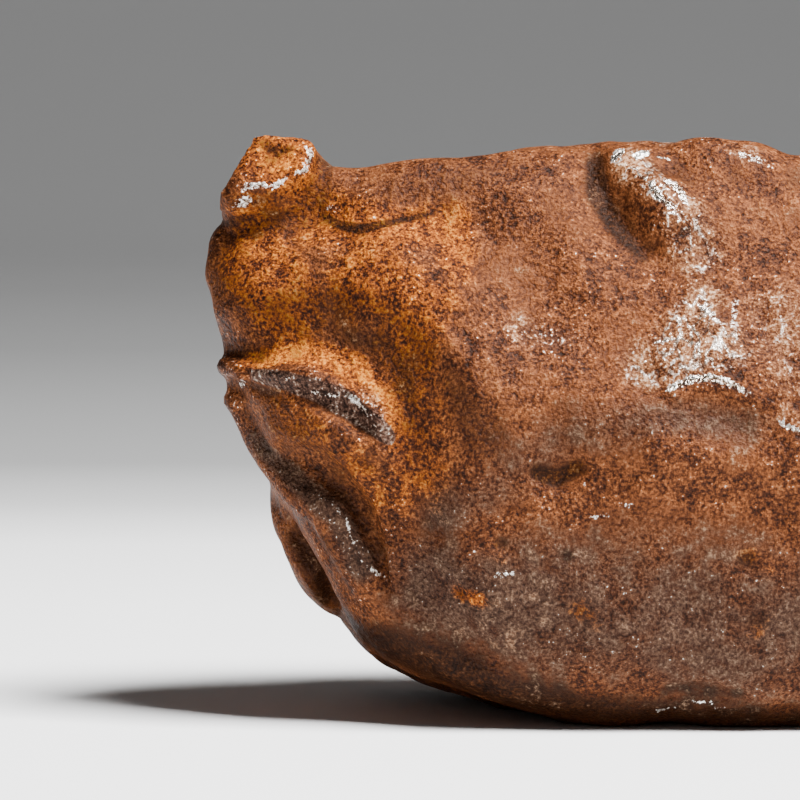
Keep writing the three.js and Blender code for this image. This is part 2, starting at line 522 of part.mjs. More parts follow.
// Slide the points along the surface to even spacing, and pull each back onto the surface
function settle(points, index) {
  const neighbours = points.map(() => new Set());
  for (let i = 0; i < index.length; i += 3) {
    for (const [a, b] of [[0, 1], [1, 2], [2, 0]]) {
      neighbours[index[i + a]].add(index[i + b]);
      neighbours[index[i + b]].add(index[i + a]);
    }
  }
  const h = SETTLING_SLOPE;
  const slopes = points.map(() => new THREE.Vector3());
  for (let round = 0; round < SETTLING_ROUNDS; round += 1) {
    const weights = points.map(crowding);
    const last = round > SETTLING_ROUNDS - 3;
    const values = points.map((p) => meteoriteDistance(p.x, p.y, p.z));
    if (round % 3 === 0 || last) {
      points.forEach((p, i) => slopes[i].set(
        (meteoriteDistance(p.x + h, p.y, p.z) - values[i]) / h,
        (meteoriteDistance(p.x, p.y + h, p.z) - values[i]) / h,
        (meteoriteDistance(p.x, p.y, p.z + h) - values[i]) / h,
      ));
    }
    const moved = points.map((p, i) => {
      const size = Math.max(slopes[i].length(), 0.5);
      const out = slopes[i].clone().normalize();
      const next = p.clone();
      if (!last) {
        const mean = new THREE.Vector3();
        let total = 0;
        for (const j of neighbours[i]) {
          mean.addScaledVector(points[j], weights[j]);
          total += weights[j];
        }
        const move = mean.divideScalar(total).sub(p);
        next.addScaledVector(move.addScaledVector(out, -move.dot(out)), SLIDE_SHARE);
      }
      const pull = Math.min(Math.max(values[i] / size, -LONGEST_PULL), LONGEST_PULL);
      return next.addScaledVector(out, -pull);
    });
    moved.forEach((p, i) => points[i].copy(p));
  }
}

// Each four-sided patch of the box is two triangles. It is split along the diagonal whose middle
// lies nearer to the surface, so that the facets follow the creases.
function splitAlongSurface(points, index) {
  const missBy = (a, b) => {
    const m = points[a].clone().add(points[b]).multiplyScalar(0.5);
    return Math.abs(meteoriteDistance(m.x, m.y, m.z));
  };
  for (let i = 0; i < index.length; i += 6) {
    const [a, b, d, , c] = index.slice(i, i + 5);
    if (missBy(a, c) < missBy(b, d)) index.set([a, b, c, a, c, d], i);
  }
}

function meteoriteGeometry() {
  const box = new THREE.BoxGeometry(2, 2, 2, ...DIVISIONS);
  box.deleteAttribute('normal');
  box.deleteAttribute('uv');
  const geometry = mergeVertices(box, 1e-5);
  const position = geometry.getAttribute('position');
  const points = [];
  for (let i = 0; i < position.count; i += 1) {
    points.push(outermost(wayOut(new THREE.Vector3().fromBufferAttribute(position, i))));
  }
  const index = geometry.getIndex().array;
  settle(points, index);
  splitAlongSurface(points, index);

  // Stretched by a hair to the driving dimensions, with the flat at the base exactly flat
  const bounds = new THREE.Box3().setFromPoints(points);
  const middle = bounds.getCenter(new THREE.Vector3());
  const size = bounds.getSize(new THREE.Vector3());
  points.forEach((p, i) => {
    const x = ((p.x - middle.x) * LENGTH) / size.x;
    const y = ((p.y - middle.y) * DEPTH) / size.y;
    const z = ((p.z - bounds.min.z) * HEIGHT) / size.z;
    position.setXYZ(i, x, y, z < FLAT_BELOW ? 0 : z);
  });
  geometry.computeVertexNormals();
  return geometry;
}

// Rusted iron and nickel: brown iron oxide over metal, half dull
const rustedIron = new THREE.MeshStandardMaterial({ color: 0x7b4a31, roughness: 0.5, metalness: 0.5 });

const meteorite = new THREE.Mesh(meteoriteGeometry(), rustedIron);
meteorite.name = 'meteorite';

const group = new THREE.Group();
group.name = 'iron_meteorite';
group.add(meteorite);

export default group;
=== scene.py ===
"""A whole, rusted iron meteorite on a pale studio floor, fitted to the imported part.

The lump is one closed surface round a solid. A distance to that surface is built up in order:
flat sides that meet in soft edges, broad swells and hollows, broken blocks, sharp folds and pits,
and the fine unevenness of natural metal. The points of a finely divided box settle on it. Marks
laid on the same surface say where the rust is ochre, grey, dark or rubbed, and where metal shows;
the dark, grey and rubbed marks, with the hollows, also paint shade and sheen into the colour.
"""

import logging
import math
from collections.abc import Callable, Iterable
from dataclasses import dataclass, field
from enum import Enum

import bpy
import numpy as np
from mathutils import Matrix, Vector

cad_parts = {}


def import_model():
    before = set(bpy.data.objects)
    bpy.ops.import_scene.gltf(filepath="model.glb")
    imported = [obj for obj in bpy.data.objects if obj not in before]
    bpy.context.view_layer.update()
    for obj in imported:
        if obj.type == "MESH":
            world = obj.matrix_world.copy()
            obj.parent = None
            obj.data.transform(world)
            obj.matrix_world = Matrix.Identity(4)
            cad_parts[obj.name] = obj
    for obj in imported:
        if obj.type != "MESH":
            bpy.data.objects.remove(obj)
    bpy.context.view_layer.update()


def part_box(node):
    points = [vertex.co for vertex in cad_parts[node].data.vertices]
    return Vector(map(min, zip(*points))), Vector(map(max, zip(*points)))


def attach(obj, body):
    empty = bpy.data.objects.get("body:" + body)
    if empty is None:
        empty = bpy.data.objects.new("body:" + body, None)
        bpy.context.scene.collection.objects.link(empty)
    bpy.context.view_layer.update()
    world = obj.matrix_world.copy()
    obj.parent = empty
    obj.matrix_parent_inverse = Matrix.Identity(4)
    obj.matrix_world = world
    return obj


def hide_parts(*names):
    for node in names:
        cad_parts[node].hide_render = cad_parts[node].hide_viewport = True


LOG = logging.getLogger("meteorite")

MM = 0.001
Vec = tuple[float, float, float]
Row = tuple[float, ...]
Stops = tuple[tuple[float, str], ...]


class Look(Enum):
    """Where a form is laid from: the axis that the look runs along, and the end it starts at."""

    FRONT = (1, -36.0)
    BACK = (1, 36.0)
    RIGHT = (0, 40.0)
    TOP = (2, 44.0)

    @property
    def axis(self) -> int:
        """The axis that the look runs along."""
        return self.value[0]

    @property
    def start(self) -> float:
        """The coordinate on that axis, in mm, at which the look starts, outside the lump."""
        return self.value[1]


class Kind(Enum):
    """What a form does to the surface: rise softly, sink softly, or stand out as a fold."""

    SWELL = 1
    HOLLOW = -1
    FOLD = 0


class Tone(Enum):
    """A finish, some with painted shade or sheen, that marks give the surface; the value names the mesh
    attribute it is kept in.
    """

    OCHRE = "ochre"
    # grey-brown scale, which on the lower front also paints shade and a reflection of the floor
    GREY = "grey"
    # dark rust, and painted shade in creases, grooves, cracks, under overhangs and along the floor
    DARK = "dark"
    BARE = "bare"
    BROKEN = "broken"
    # rubbed rust, and a painted sheen where light falls
    WORN = "worn"


@dataclass(frozen=True)
class Side:
    """One flat side of a solid: the way it faces, and a point in mm that it passes through."""

    facing: Vec
    through: Vec


@dataclass(frozen=True)
class Block:
    """A broken block with flat sides: its middle and reach in mm, and how soft its edges are."""

    middle: Vec
    reach: float
    softness: float
    blend: float
    sides: tuple[Side, ...]


@dataclass(frozen=True)
class Form:
    """A form laid on the surface along a line of (across, up, width, height) rows, in mm."""

    kind: Kind
    line: tuple[Row, ...]
    look: Look = Look.FRONT
    blend: float = 0.0


# The longest stretch of a mark's line, as a share of its width
STRETCH_SHARE = 1.2


@dataclass(frozen=True)
class Mark:
    """A finish laid along a line of (across, up, width, strength) rows, in mm; some carry painted shade
    or sheen.
    """

    tone: Tone
    line: tuple[Row, ...]
    look: Look = Look.FRONT

    def filled_in(self) -> "Mark":
        """Put in rows, so that the mark's line follows the surface closely.

        Returns:
            The mark, with long stretches parted.
        """
        rows = [self.line[0]]
        for a, b in zip(self.line, self.line[1:]):
            length = np.hypot(b[0] - a[0], b[1] - a[1])
            parts = int(np.ceil(length / (STRETCH_SHARE * min(a[2], b[2]))))
            rows += [tuple(np.add(a, np.subtract(b, a) * k / parts)) for k in range(1, parts + 1)]
        return Mark(self.tone, tuple(rows), self.look)


@dataclass(frozen=True)
class Bead:
    """A bead whose place is given outright, along a line of (x, y, z, radius) rows, in mm."""

    line: tuple[Row, ...]
    blend: float


# The flat sides of the body
BODY_SIDES = (
    Side((0.0, -1.0, -0.06), (0, -13.2, 10)),  # front, low
    Side((0.02, -0.82, 0.57), (-2, -13.2, 20.1)),  # front, high
    Side((-0.5, -0.84, -0.22), (-18, -9.8, 12)),  # front left, low
    Side((-0.4, -0.82, 0.42), (-19, -8.6, 26)),  # front left, high
    Side((0.5, -0.85, -0.1), (17, -10.5, 12)),  # front right, low
    Side((0.45, -0.7, 0.55), (16.5, -7, 25)),  # front right, high
    Side((0.09, 0.1, 1.0), (-3, 0, 34.3)),  # top
    Side((-0.08, 0.12, 1.0), (-18, 0, 32.8)),  # top, left
    Side((-1.0, 0.06, -0.3), (-27.5, 0, 25.5)),  # left end
    Side((-0.9, 0.0, 0.45), (-27.2, 0, 28)),  # left end, high
    Side((-0.86, -0.12, -0.46), (-23.3, 0, 12.5)),  # left end, low
    Side((-0.52, -0.15, -0.85), (-17.9, 0, 2.6)),  # left, under
    Side((-0.27, -0.12, -0.95), (-12.6, 0, 0.6)),  # bottom, left
    Side((0.0, 0.0, -1.0), (0, 0, -0.6)),  # bottom
    Side((0.0, -0.72, -0.7), (0, -11.3, 1.0)),  # bottom, front
    Side((0.05, 0.62, -0.78), (0, 9.4, 1.8)),  # bottom, back
    Side((0.05, 1.0, -0.08), (0, 11.8, 12)),  # back, low
    Side((-0.05, 0.74, 0.66), (0, 8.6, 28)),  # back, high
    Side((-0.62, 0.78, 0.02), (-19, 8.2, 16)),  # back, left
    Side((0.6, 0.8, 0.05), (18, 8.8, 16)),  # back, right
    Side((1.0, 0.05, -0.12), (27.4, 0, 15)),  # right end
    Side((0.62, 0.05, 0.78), (19.5, 0, 28)),  # right end, high
    Side((0.66, 0.0, -0.75), (20.5, 0, 3.6)),  # right end, low
)

# Broad swells and hollows that are laid on the flat sides
BROAD = (
    # pillow, brow, spur and belly
    Form(Kind.SWELL, ((-23.8, 25.8, 4.6, 0.8),)),
    Form(Kind.SWELL, ((-19.8, 27.3, 3.2, 0.5), (-15.8, 26.9, 3.0, 0.6), (-12.9, 25.3, 2.6, 0.4))),
    Form(Kind.SWELL, ((1.0, 24.6, 3.6, 0.3), (1.6, 22.4, 4.4, 0.6), (2.6, 21.2, 4.0, 0.5))),
    Form(Kind.SWELL, ((-22.6, 17.5, 2.4, 0.7), (-20.6, 16.5, 2.6, 0.8), (-19.0, 14.9, 2.6, 0.6))),
    # scar under the lid, valley behind it, neck of the horn, and the hollow under the crack
    Form(Kind.HOLLOW, (
        (-24.2, 20.2, 1.1, 0.4), (-22.5, 19.9, 1.2, 0.6), (-21.0, 19.5, 1.2, 0.8),
        (-19.8, 18.8, 1.2, 0.9), (-18.6, 17.9, 1.2, 0.9), (-17.8, 17.2, 1.0, 0.6))),
    Form(Kind.HOLLOW, (
        (-20.5, 22.3, 1.6, 0.3), (-18.7, 21.4, 1.8, 0.5), (-17.0, 20.0, 1.9, 0.6),
        (-15.9, 18.4, 1.8, 0.5), (-15.6, 16.7, 1.6, 0.2))),
    Form(Kind.HOLLOW, (
        (-26.2, 22.1, 2.0, 0.5), (-23.0, 22.7, 2.6, 0.8), (-19.9, 22.9, 3.2, 1.3),
        (-16.7, 21.9, 3.6, 1.5), (-14.6, 19.2, 3.5, 1.3), (-13.9, 16.0, 3.2, 0.9),
        (-13.7, 12.5, 3.0, 0.4))),
    Form(Kind.HOLLOW, (
        (-26.6, 28.8, 1.0, 0.4), (-24.9, 29.4, 1.2, 0.4), (-22.2, 29.8, 1.2, 0.4),
        (-19.8, 29.8, 1.1, 0.25))),
    Form(Kind.HOLLOW, ((-14.6, 29.6, 2.4, 0.3), (-8.8, 28.2, 3.6, 0.5), (-6.6, 23.1, 3.6, 0.35))),
    # hollow beside the knob, the rise behind it, and the dip under the spur
    Form(Kind.HOLLOW, (
        (-3.7, 32.9, 2.2, 0.4), (-3.7, 31.2, 2.6, 0.6), (-3.0, 29.6, 2.6, 0.6), (-1.8, 28.0, 2.2, 0.35),
        (-1.0, 27.0, 1.8, 0.1))),
    Form(Kind.SWELL, ((0.8, 31.8, 3.2, 0.5), (1.6, 29.4, 3.8, 0.7), (2.4, 27.2, 3.4, 0.2))),
    Form(Kind.HOLLOW, ((0.3, 17.9, 2.2, 0.4), (2.6, 18.2, 2.4, 0.5), (4.9, 17.6, 2.2, 0.3))),
    # ripples of the lower front
    Form(Kind.HOLLOW, ((-11.8, 17.5, 2.4, 0.35), (-10.0, 12.3, 2.6, 0.3))),
    Form(Kind.SWELL, ((-4.4, 17.8, 3.0, 0.25), (1.3, 16.9, 3.2, 0.3))),
    Form(Kind.HOLLOW, ((-3.2, 10.9, 3.2, 0.3), (4.8, 12.4, 3.0, 0.4))),
    Form(Kind.SWELL, ((-8.9, 7.1, 3.4, 0.35), (-2.0, 6.0, 3.4, 0.3))),
    Form(Kind.HOLLOW, ((-14.0, 8.7, 2.6, 0.35), (-11.7, 4.7, 2.6, 0.4))),
    # saddle and dents of the top
    Form(Kind.HOLLOW, ((-17.5, -2.0, 4.0, 0.8), (-12.0, -1.0, 4.0, 0.3)), Look.TOP),
    Form(Kind.HOLLOW, ((-8.0, 3.0, 4.6, 1.0),), Look.TOP),
    Form(Kind.HOLLOW, ((7.0, 1.0, 4.6, 0.9), (12.0, 2.0, 3.6, 0.6)), Look.TOP),
    # dents and ridge of the right half
    Form(Kind.HOLLOW, ((13.5, 21.0, 5.2, 1.2),)),
    Form(Kind.SWELL, ((10.5, 30.0, 2.2, 0.5), (18.0, 26.0, 2.8, 1.1), (21.5, 17.0, 2.8, 1.0))),
    Form(Kind.HOLLOW, ((15.0, 9.0, 4.6, 0.9),)),
    Form(Kind.SWELL, ((-4.0, 12.0, 4.4, 0.8),), Look.RIGHT),
    Form(Kind.HOLLOW, ((2.0, 20.0, 4.2, 1.3),), Look.RIGHT),
    # thumbprint dents of the back, and the ridge between them
    Form(Kind.HOLLOW, ((-15.5, 21.0, 5.2, 1.9),), Look.BACK),
    Form(Kind.HOLLOW, ((-6.5, 11.5, 5.6, 2.1),), Look.BACK),
    Form(Kind.HOLLOW, ((6.5, 23.5, 6.0, 2.0),), Look.BACK),
    Form(Kind.HOLLOW, ((15.0, 10.5, 5.4, 1.9),), Look.BACK),
    Form(Kind.HOLLOW, ((-19.0, 10.5, 3.8, 1.2),), Look.BACK),
    Form(Kind.HOLLOW, ((-5.0, 27.5, 3.6, 0.8),), Look.BACK),
    Form(Kind.SWELL, (
        (-9.0, 30.0, 2.2, 0.6), (-2.0, 20.0, 2.4, 0.9), (5.0, 13.0, 2.6, 0.9),
        (8.0, 5.0, 2.4, 0.5)), Look.BACK),
)

# The horn, with its shelf that faces the front and up, and the lump at the foot of the left end
BLOCKS = (
    Block((-23.3, -2.4, 32.3), 4.6, 0.20, 0.7, (
        Side((-0.06, -0.76, 0.62), (-23.4, -4.9, 32.8)),  # shelf
        Side((0.05, -0.94, -0.22), (-23.9, -5.95, 31.2)),  # neck under its brim
        Side((0.5, -0.82, -0.25), (-22.0, -5.92, 31.68)),  # neck under its brim, right
        Side((0.0, -0.66, -0.75), (-23.9, -5.5, 29.9)),  # foot of the neck
        Side((-0.92, 0.0, 0.39), (-25.95, -4.9, 31.53)),  # outer side
        Side((-0.8, 0.6, 0.1), (-25.6, -3.7, 31.6)),  # outer side, back
        Side((0.0, 0.2, -1.0), (-23.9, -4.9, 29.5)),  # underside
        Side((0.36, 0.3, 1.0), (-23.9, -4.9, 35.1)),  # crown
        Side((0.9, -0.35, 0.1), (-21.1, -5.24, 32.6)),  # inner side
        Side((0.1, 1.0, 0.2), (-23.4, 1.6, 32.2)),  # rear
    )),
    Block((-21.6, -1.0, 9.8), 4.2, 0.45, 0.5, (
        Side((-0.5, -0.8, 0.15), (-21.6, -3.4, 9.8)),  # front
        Side((-0.97, 0.05, -0.24), (-23.0, -3.4, 9.8)),  # outer side
        Side((-0.55, -0.25, 0.8), (-22.9, -3.4, 11.7)),  # upper side
        Side((-0.6, -0.15, -0.78), (-21.7, -3.4, 7.5)),  # underside
        Side((0, 1, 0), (-21.6, 2.6, 9.8)),  # rear
        Side((1, -0.2, 0), (-19.9, -3.4, 9.8)),  # inner side
    )),
)

# The lid over the groove on the left end, with a crest above its dark broken face
LID = Block((-20.4, -10.2, 19.6), 5.5, 0.14, 0.35, (
    Side((-0.29, -0.4, 0.88), (-23.7, -8.9, 20.75)),  # crest, left
    Side((0.0, -0.45, 0.88), (-21.8, -10.15, 20.62)),  # crest, middle
    Side((0.465, -0.55, 0.67), (-19.0, -10.62, 19.25)),  # crest, right
    Side((0.9, -0.4, 0.2), (-17.0, -10.5, 17.4)),  # crest, end
    Side((-0.36, -0.82, -0.44), (-19.8, -11.3, 21.0)),  # broken face
    Side((-0.62, -0.7, -0.36), (-23.2, -9.4, 20.8)),  # broken face, left
    Side((-0.85, 0.45, -0.25), (-25.0, -6.9, 20.2)),  # outer side
    Side((-0.45, 0.0, -0.9), (-22.8, -9.0, 19.25)),  # underside
    Side((0, 1, 0), (-20.4, -4.0, 20.2)),  # rear
))

# Sharp folds, cracks and pits
SHARP = (
    # crack over the brow, small bump, brim of the horn, and the scale on its shelf
    Form(Kind.HOLLOW, (
        (-20.7, 29.2, 0.35, 0.05), (-19.6, 28.85, 0.5, 0.25), (-18.7, 28.65, 0.55, 0.5),
        (-17.8, 28.7, 0.5, 0.45), (-16.9, 28.95, 0.45, 0.25), (-15.3, 29.4, 0.4, 0.15),
        (-13.4, 30.1, 0.4, 0.03))),
    Form(Kind.SWELL, ((-19.8, 29.95, 0.6, 0.22),)),
    Form(Kind.FOLD, (
        (-25.1, 31.2, 0.3, 0.12), (-24.2, 31.3, 0.3, 0.15), (-23.2, 31.45, 0.3, 0.15),
        (-22.1, 31.8, 0.3, 0.15), (-21.5, 32.2, 0.3, 0.15), (-21.15, 32.7, 0.3, 0.12),
        (-21.05, 33.3, 0.25, 0.06)), blend=0.25),
    Form(Kind.SWELL, ((-23.3, 33.75, 0.7, 0.2), (-22.7, 33.65, 0.7, 0.2))),
    Form(Kind.HOLLOW, (
        (-23.7, 33.65, 0.3, 0.15), (-23.35, 33.25, 0.35, 0.25), (-22.85, 33.1, 0.35, 0.25),
        (-22.2, 33.25, 0.3, 0.12))),
    # raised edge under the broken face of the lid
    Form(Kind.FOLD, (
        (-24.0, 19.4, 0.3, 0.08), (-22.8, 19.05, 0.4, 0.18), (-21.8, 18.6, 0.45, 0.25),
        (-20.7, 18.05, 0.5, 0.3), (-19.5, 17.3, 0.5, 0.3), (-18.4, 16.7, 0.4, 0.2),
        (-17.3, 16.3, 0.25, 0.06)), blend=0.7),
    # groove above the rim, crease beside the foot lump, and the rim itself
    Form(Kind.HOLLOW, (
        (-22.6, 16.1, 1.0, 0.5), (-20.8, 15.5, 1.3, 1.3), (-19.3, 14.0, 1.4, 1.6),
        (-18.1, 12.3, 1.4, 1.6), (-17.3, 10.3, 1.2, 1.1), (-16.6, 8.1, 0.9, 0.4))),
    Form(Kind.HOLLOW, ((-21.8, 10.6, 1.0, 0.6), (-20.6, 8.5, 1.2, 1.1), (-19.7, 6.5, 1.1, 0.8))),
    Form(Kind.FOLD, (
        (-24.6, 17.2, 0.9, 0.4), (-23.6, 15.4, 1.1, 0.8), (-21.8, 13.9, 1.2, 0.9),
        (-19.9, 12.4, 1.1, 0.9), (-18.8, 10.3, 1.0, 0.9), (-17.6, 8.1, 1.0, 0.5),
        (-16.0, 6.1, 1.1, 0.2)), blend=0.5),
    # knob, its cap and its boss
    Form(Kind.SWELL, ((-0.9, 29.8, 2.0, 0.5), (0.2, 28.2, 2.0, 0.4), (1.0, 26.9, 1.6, 0.1))),
    Form(Kind.FOLD, (
        (-2.3, 32.0, 1.3, 0.9), (-1.3, 30.7, 1.5, 1.2), (-0.2, 29.3, 1.2, 0.8)), blend=1.2),
    Form(Kind.FOLD, (
        (-2.9, 32.9, 0.7, 0.45), (-1.7, 32.8, 0.7, 0.45), (-0.6, 32.5, 0.6, 0.35)), blend=0.6),
    Form(Kind.FOLD, ((-0.1, 30.7, 0.8, 0.4),), blend=0.6),
    # bright ledge
    Form(Kind.FOLD, (
        (-0.5, 19.6, 0.2, 0.05), (0.9, 20.25, 0.3, 0.12), (2.6, 20.3, 0.3, 0.12),
        (4.0, 19.75, 0.3, 0.1), (5.0, 19.15, 0.2, 0.05)), blend=0.4),
    # bumps of the top edge, and the pits of the lower front
    Form(Kind.FOLD, ((2.6, 33.2, 1.5, 0.6),), blend=0.8),
    Form(Kind.FOLD, ((4.8, 32.8, 1.2, 0.3),), blend=0.8),
    Form(Kind.HOLLOW, ((-7.9, 15.0, 0.9, 0.5), (-6.9, 14.8, 1.1, 0.7), (-5.8, 15.4, 1.0, 0.75))),
    Form(Kind.HOLLOW, ((-6.2, 10.3, 0.6, 0.25),)),
    Form(Kind.HOLLOW, ((-12.0, 8.1, 0.8, 0.3),)),
    Form(Kind.HOLLOW, ((4.0, 9.9, 1.0, 0.35),)),
    Form(Kind.HOLLOW, ((-10.0, 11.0, 0.7, 0.25),)),
    Form(Kind.HOLLOW, ((4.6, 6.5, 0.9, 0.3),)),
    # lip by the floor and the trough above it
    Form(Kind.FOLD, ((-1.1, 1.4, 0.3, 0.12), (0.9, 1.4, 0.45, 0.3), (3.5, 1.6, 0.35, 0.15)), blend=0.3),
    Form(Kind.HOLLOW, ((-0.5, 2.1, 0.9, 0.3), (1.5, 2.2, 1.0, 0.5), (3.8, 2.3, 0.9, 0.3))),
    # lips and folds of the right end and the back
    Form(Kind.FOLD, (
        (19.5, 12.0, 0.8, 0.3), (22.0, 15.5, 1.2, 1.0), (23.5, 20.0, 1.2, 1.0),
        (22.5, 24.0, 0.8, 0.4)), blend=0.6),
    Form(Kind.FOLD, (
        (-22.0, 26.0, 0.7, 0.3), (-17.0, 28.0, 1.1, 0.9), (-11.0, 27.2, 1.1, 0.9),
        (-6.5, 24.0, 0.8, 0.4)), Look.BACK, 0.6),
    Form(Kind.FOLD, (
        (12.0, 18.0, 0.7, 0.3), (15.0, 19.5, 1.0, 0.8), (19.5, 18.5, 1.0, 0.8),
        (22.0, 15.5, 0.7, 0.3)), Look.BACK, 0.5),
    Form(Kind.HOLLOW, ((1.0, 8.5, 1.6, 1.0),), Look.BACK),
    Form(Kind.FOLD, (
        (-6.0, 22.0, 0.8, 0.3), (-2.0, 24.5, 1.2, 0.9), (3.5, 24.0, 1.0, 0.6)), Look.RIGHT, 0.6),
)

BEADS = (
    # neck of the horn and the ball on it
    Bead(((-24.7, -3.3, 29.6, 1.5), (-23.0, -3.8, 30.0, 1.5)), 0.9),
    Bead(((-25.68, -5.55, 30.6, 0.78),), 0.22),
    # flank from the tail of the lid down to the rim, the tail, and the smaller one under it
    Bead((
        (-25.2, -3.5, 21.6, 0.9), (-25.2, -4.0, 19.6, 1.0), (-25.1, -4.2, 18.3, 1.0),
        (-24.5, -4.4, 16.8, 0.9), (-23.5, -4.4, 15.2, 0.7)), 0.9),
    Bead((
        (-26.1, -3.6, 20.7, 0.7), (-25.9, -5.2, 20.8, 0.65), (-25.3, -6.8, 20.6, 0.55),
        (-24.8, -8.0, 20.3, 0.4)), 0.6),
    Bead(((-25.9, -4.0, 18.7, 0.55), (-25.6, -5.4, 18.6, 0.5), (-25.0, -6.6, 18.4, 0.35)), 0.5),
    # shoulder under the horn
    Bead(((-26.35, -1.5, 27.75, 0.8), (-26.45, -3.2, 27.4, 0.8), (-26.6, -3.6, 26.2, 0.75)), 1.0),
)
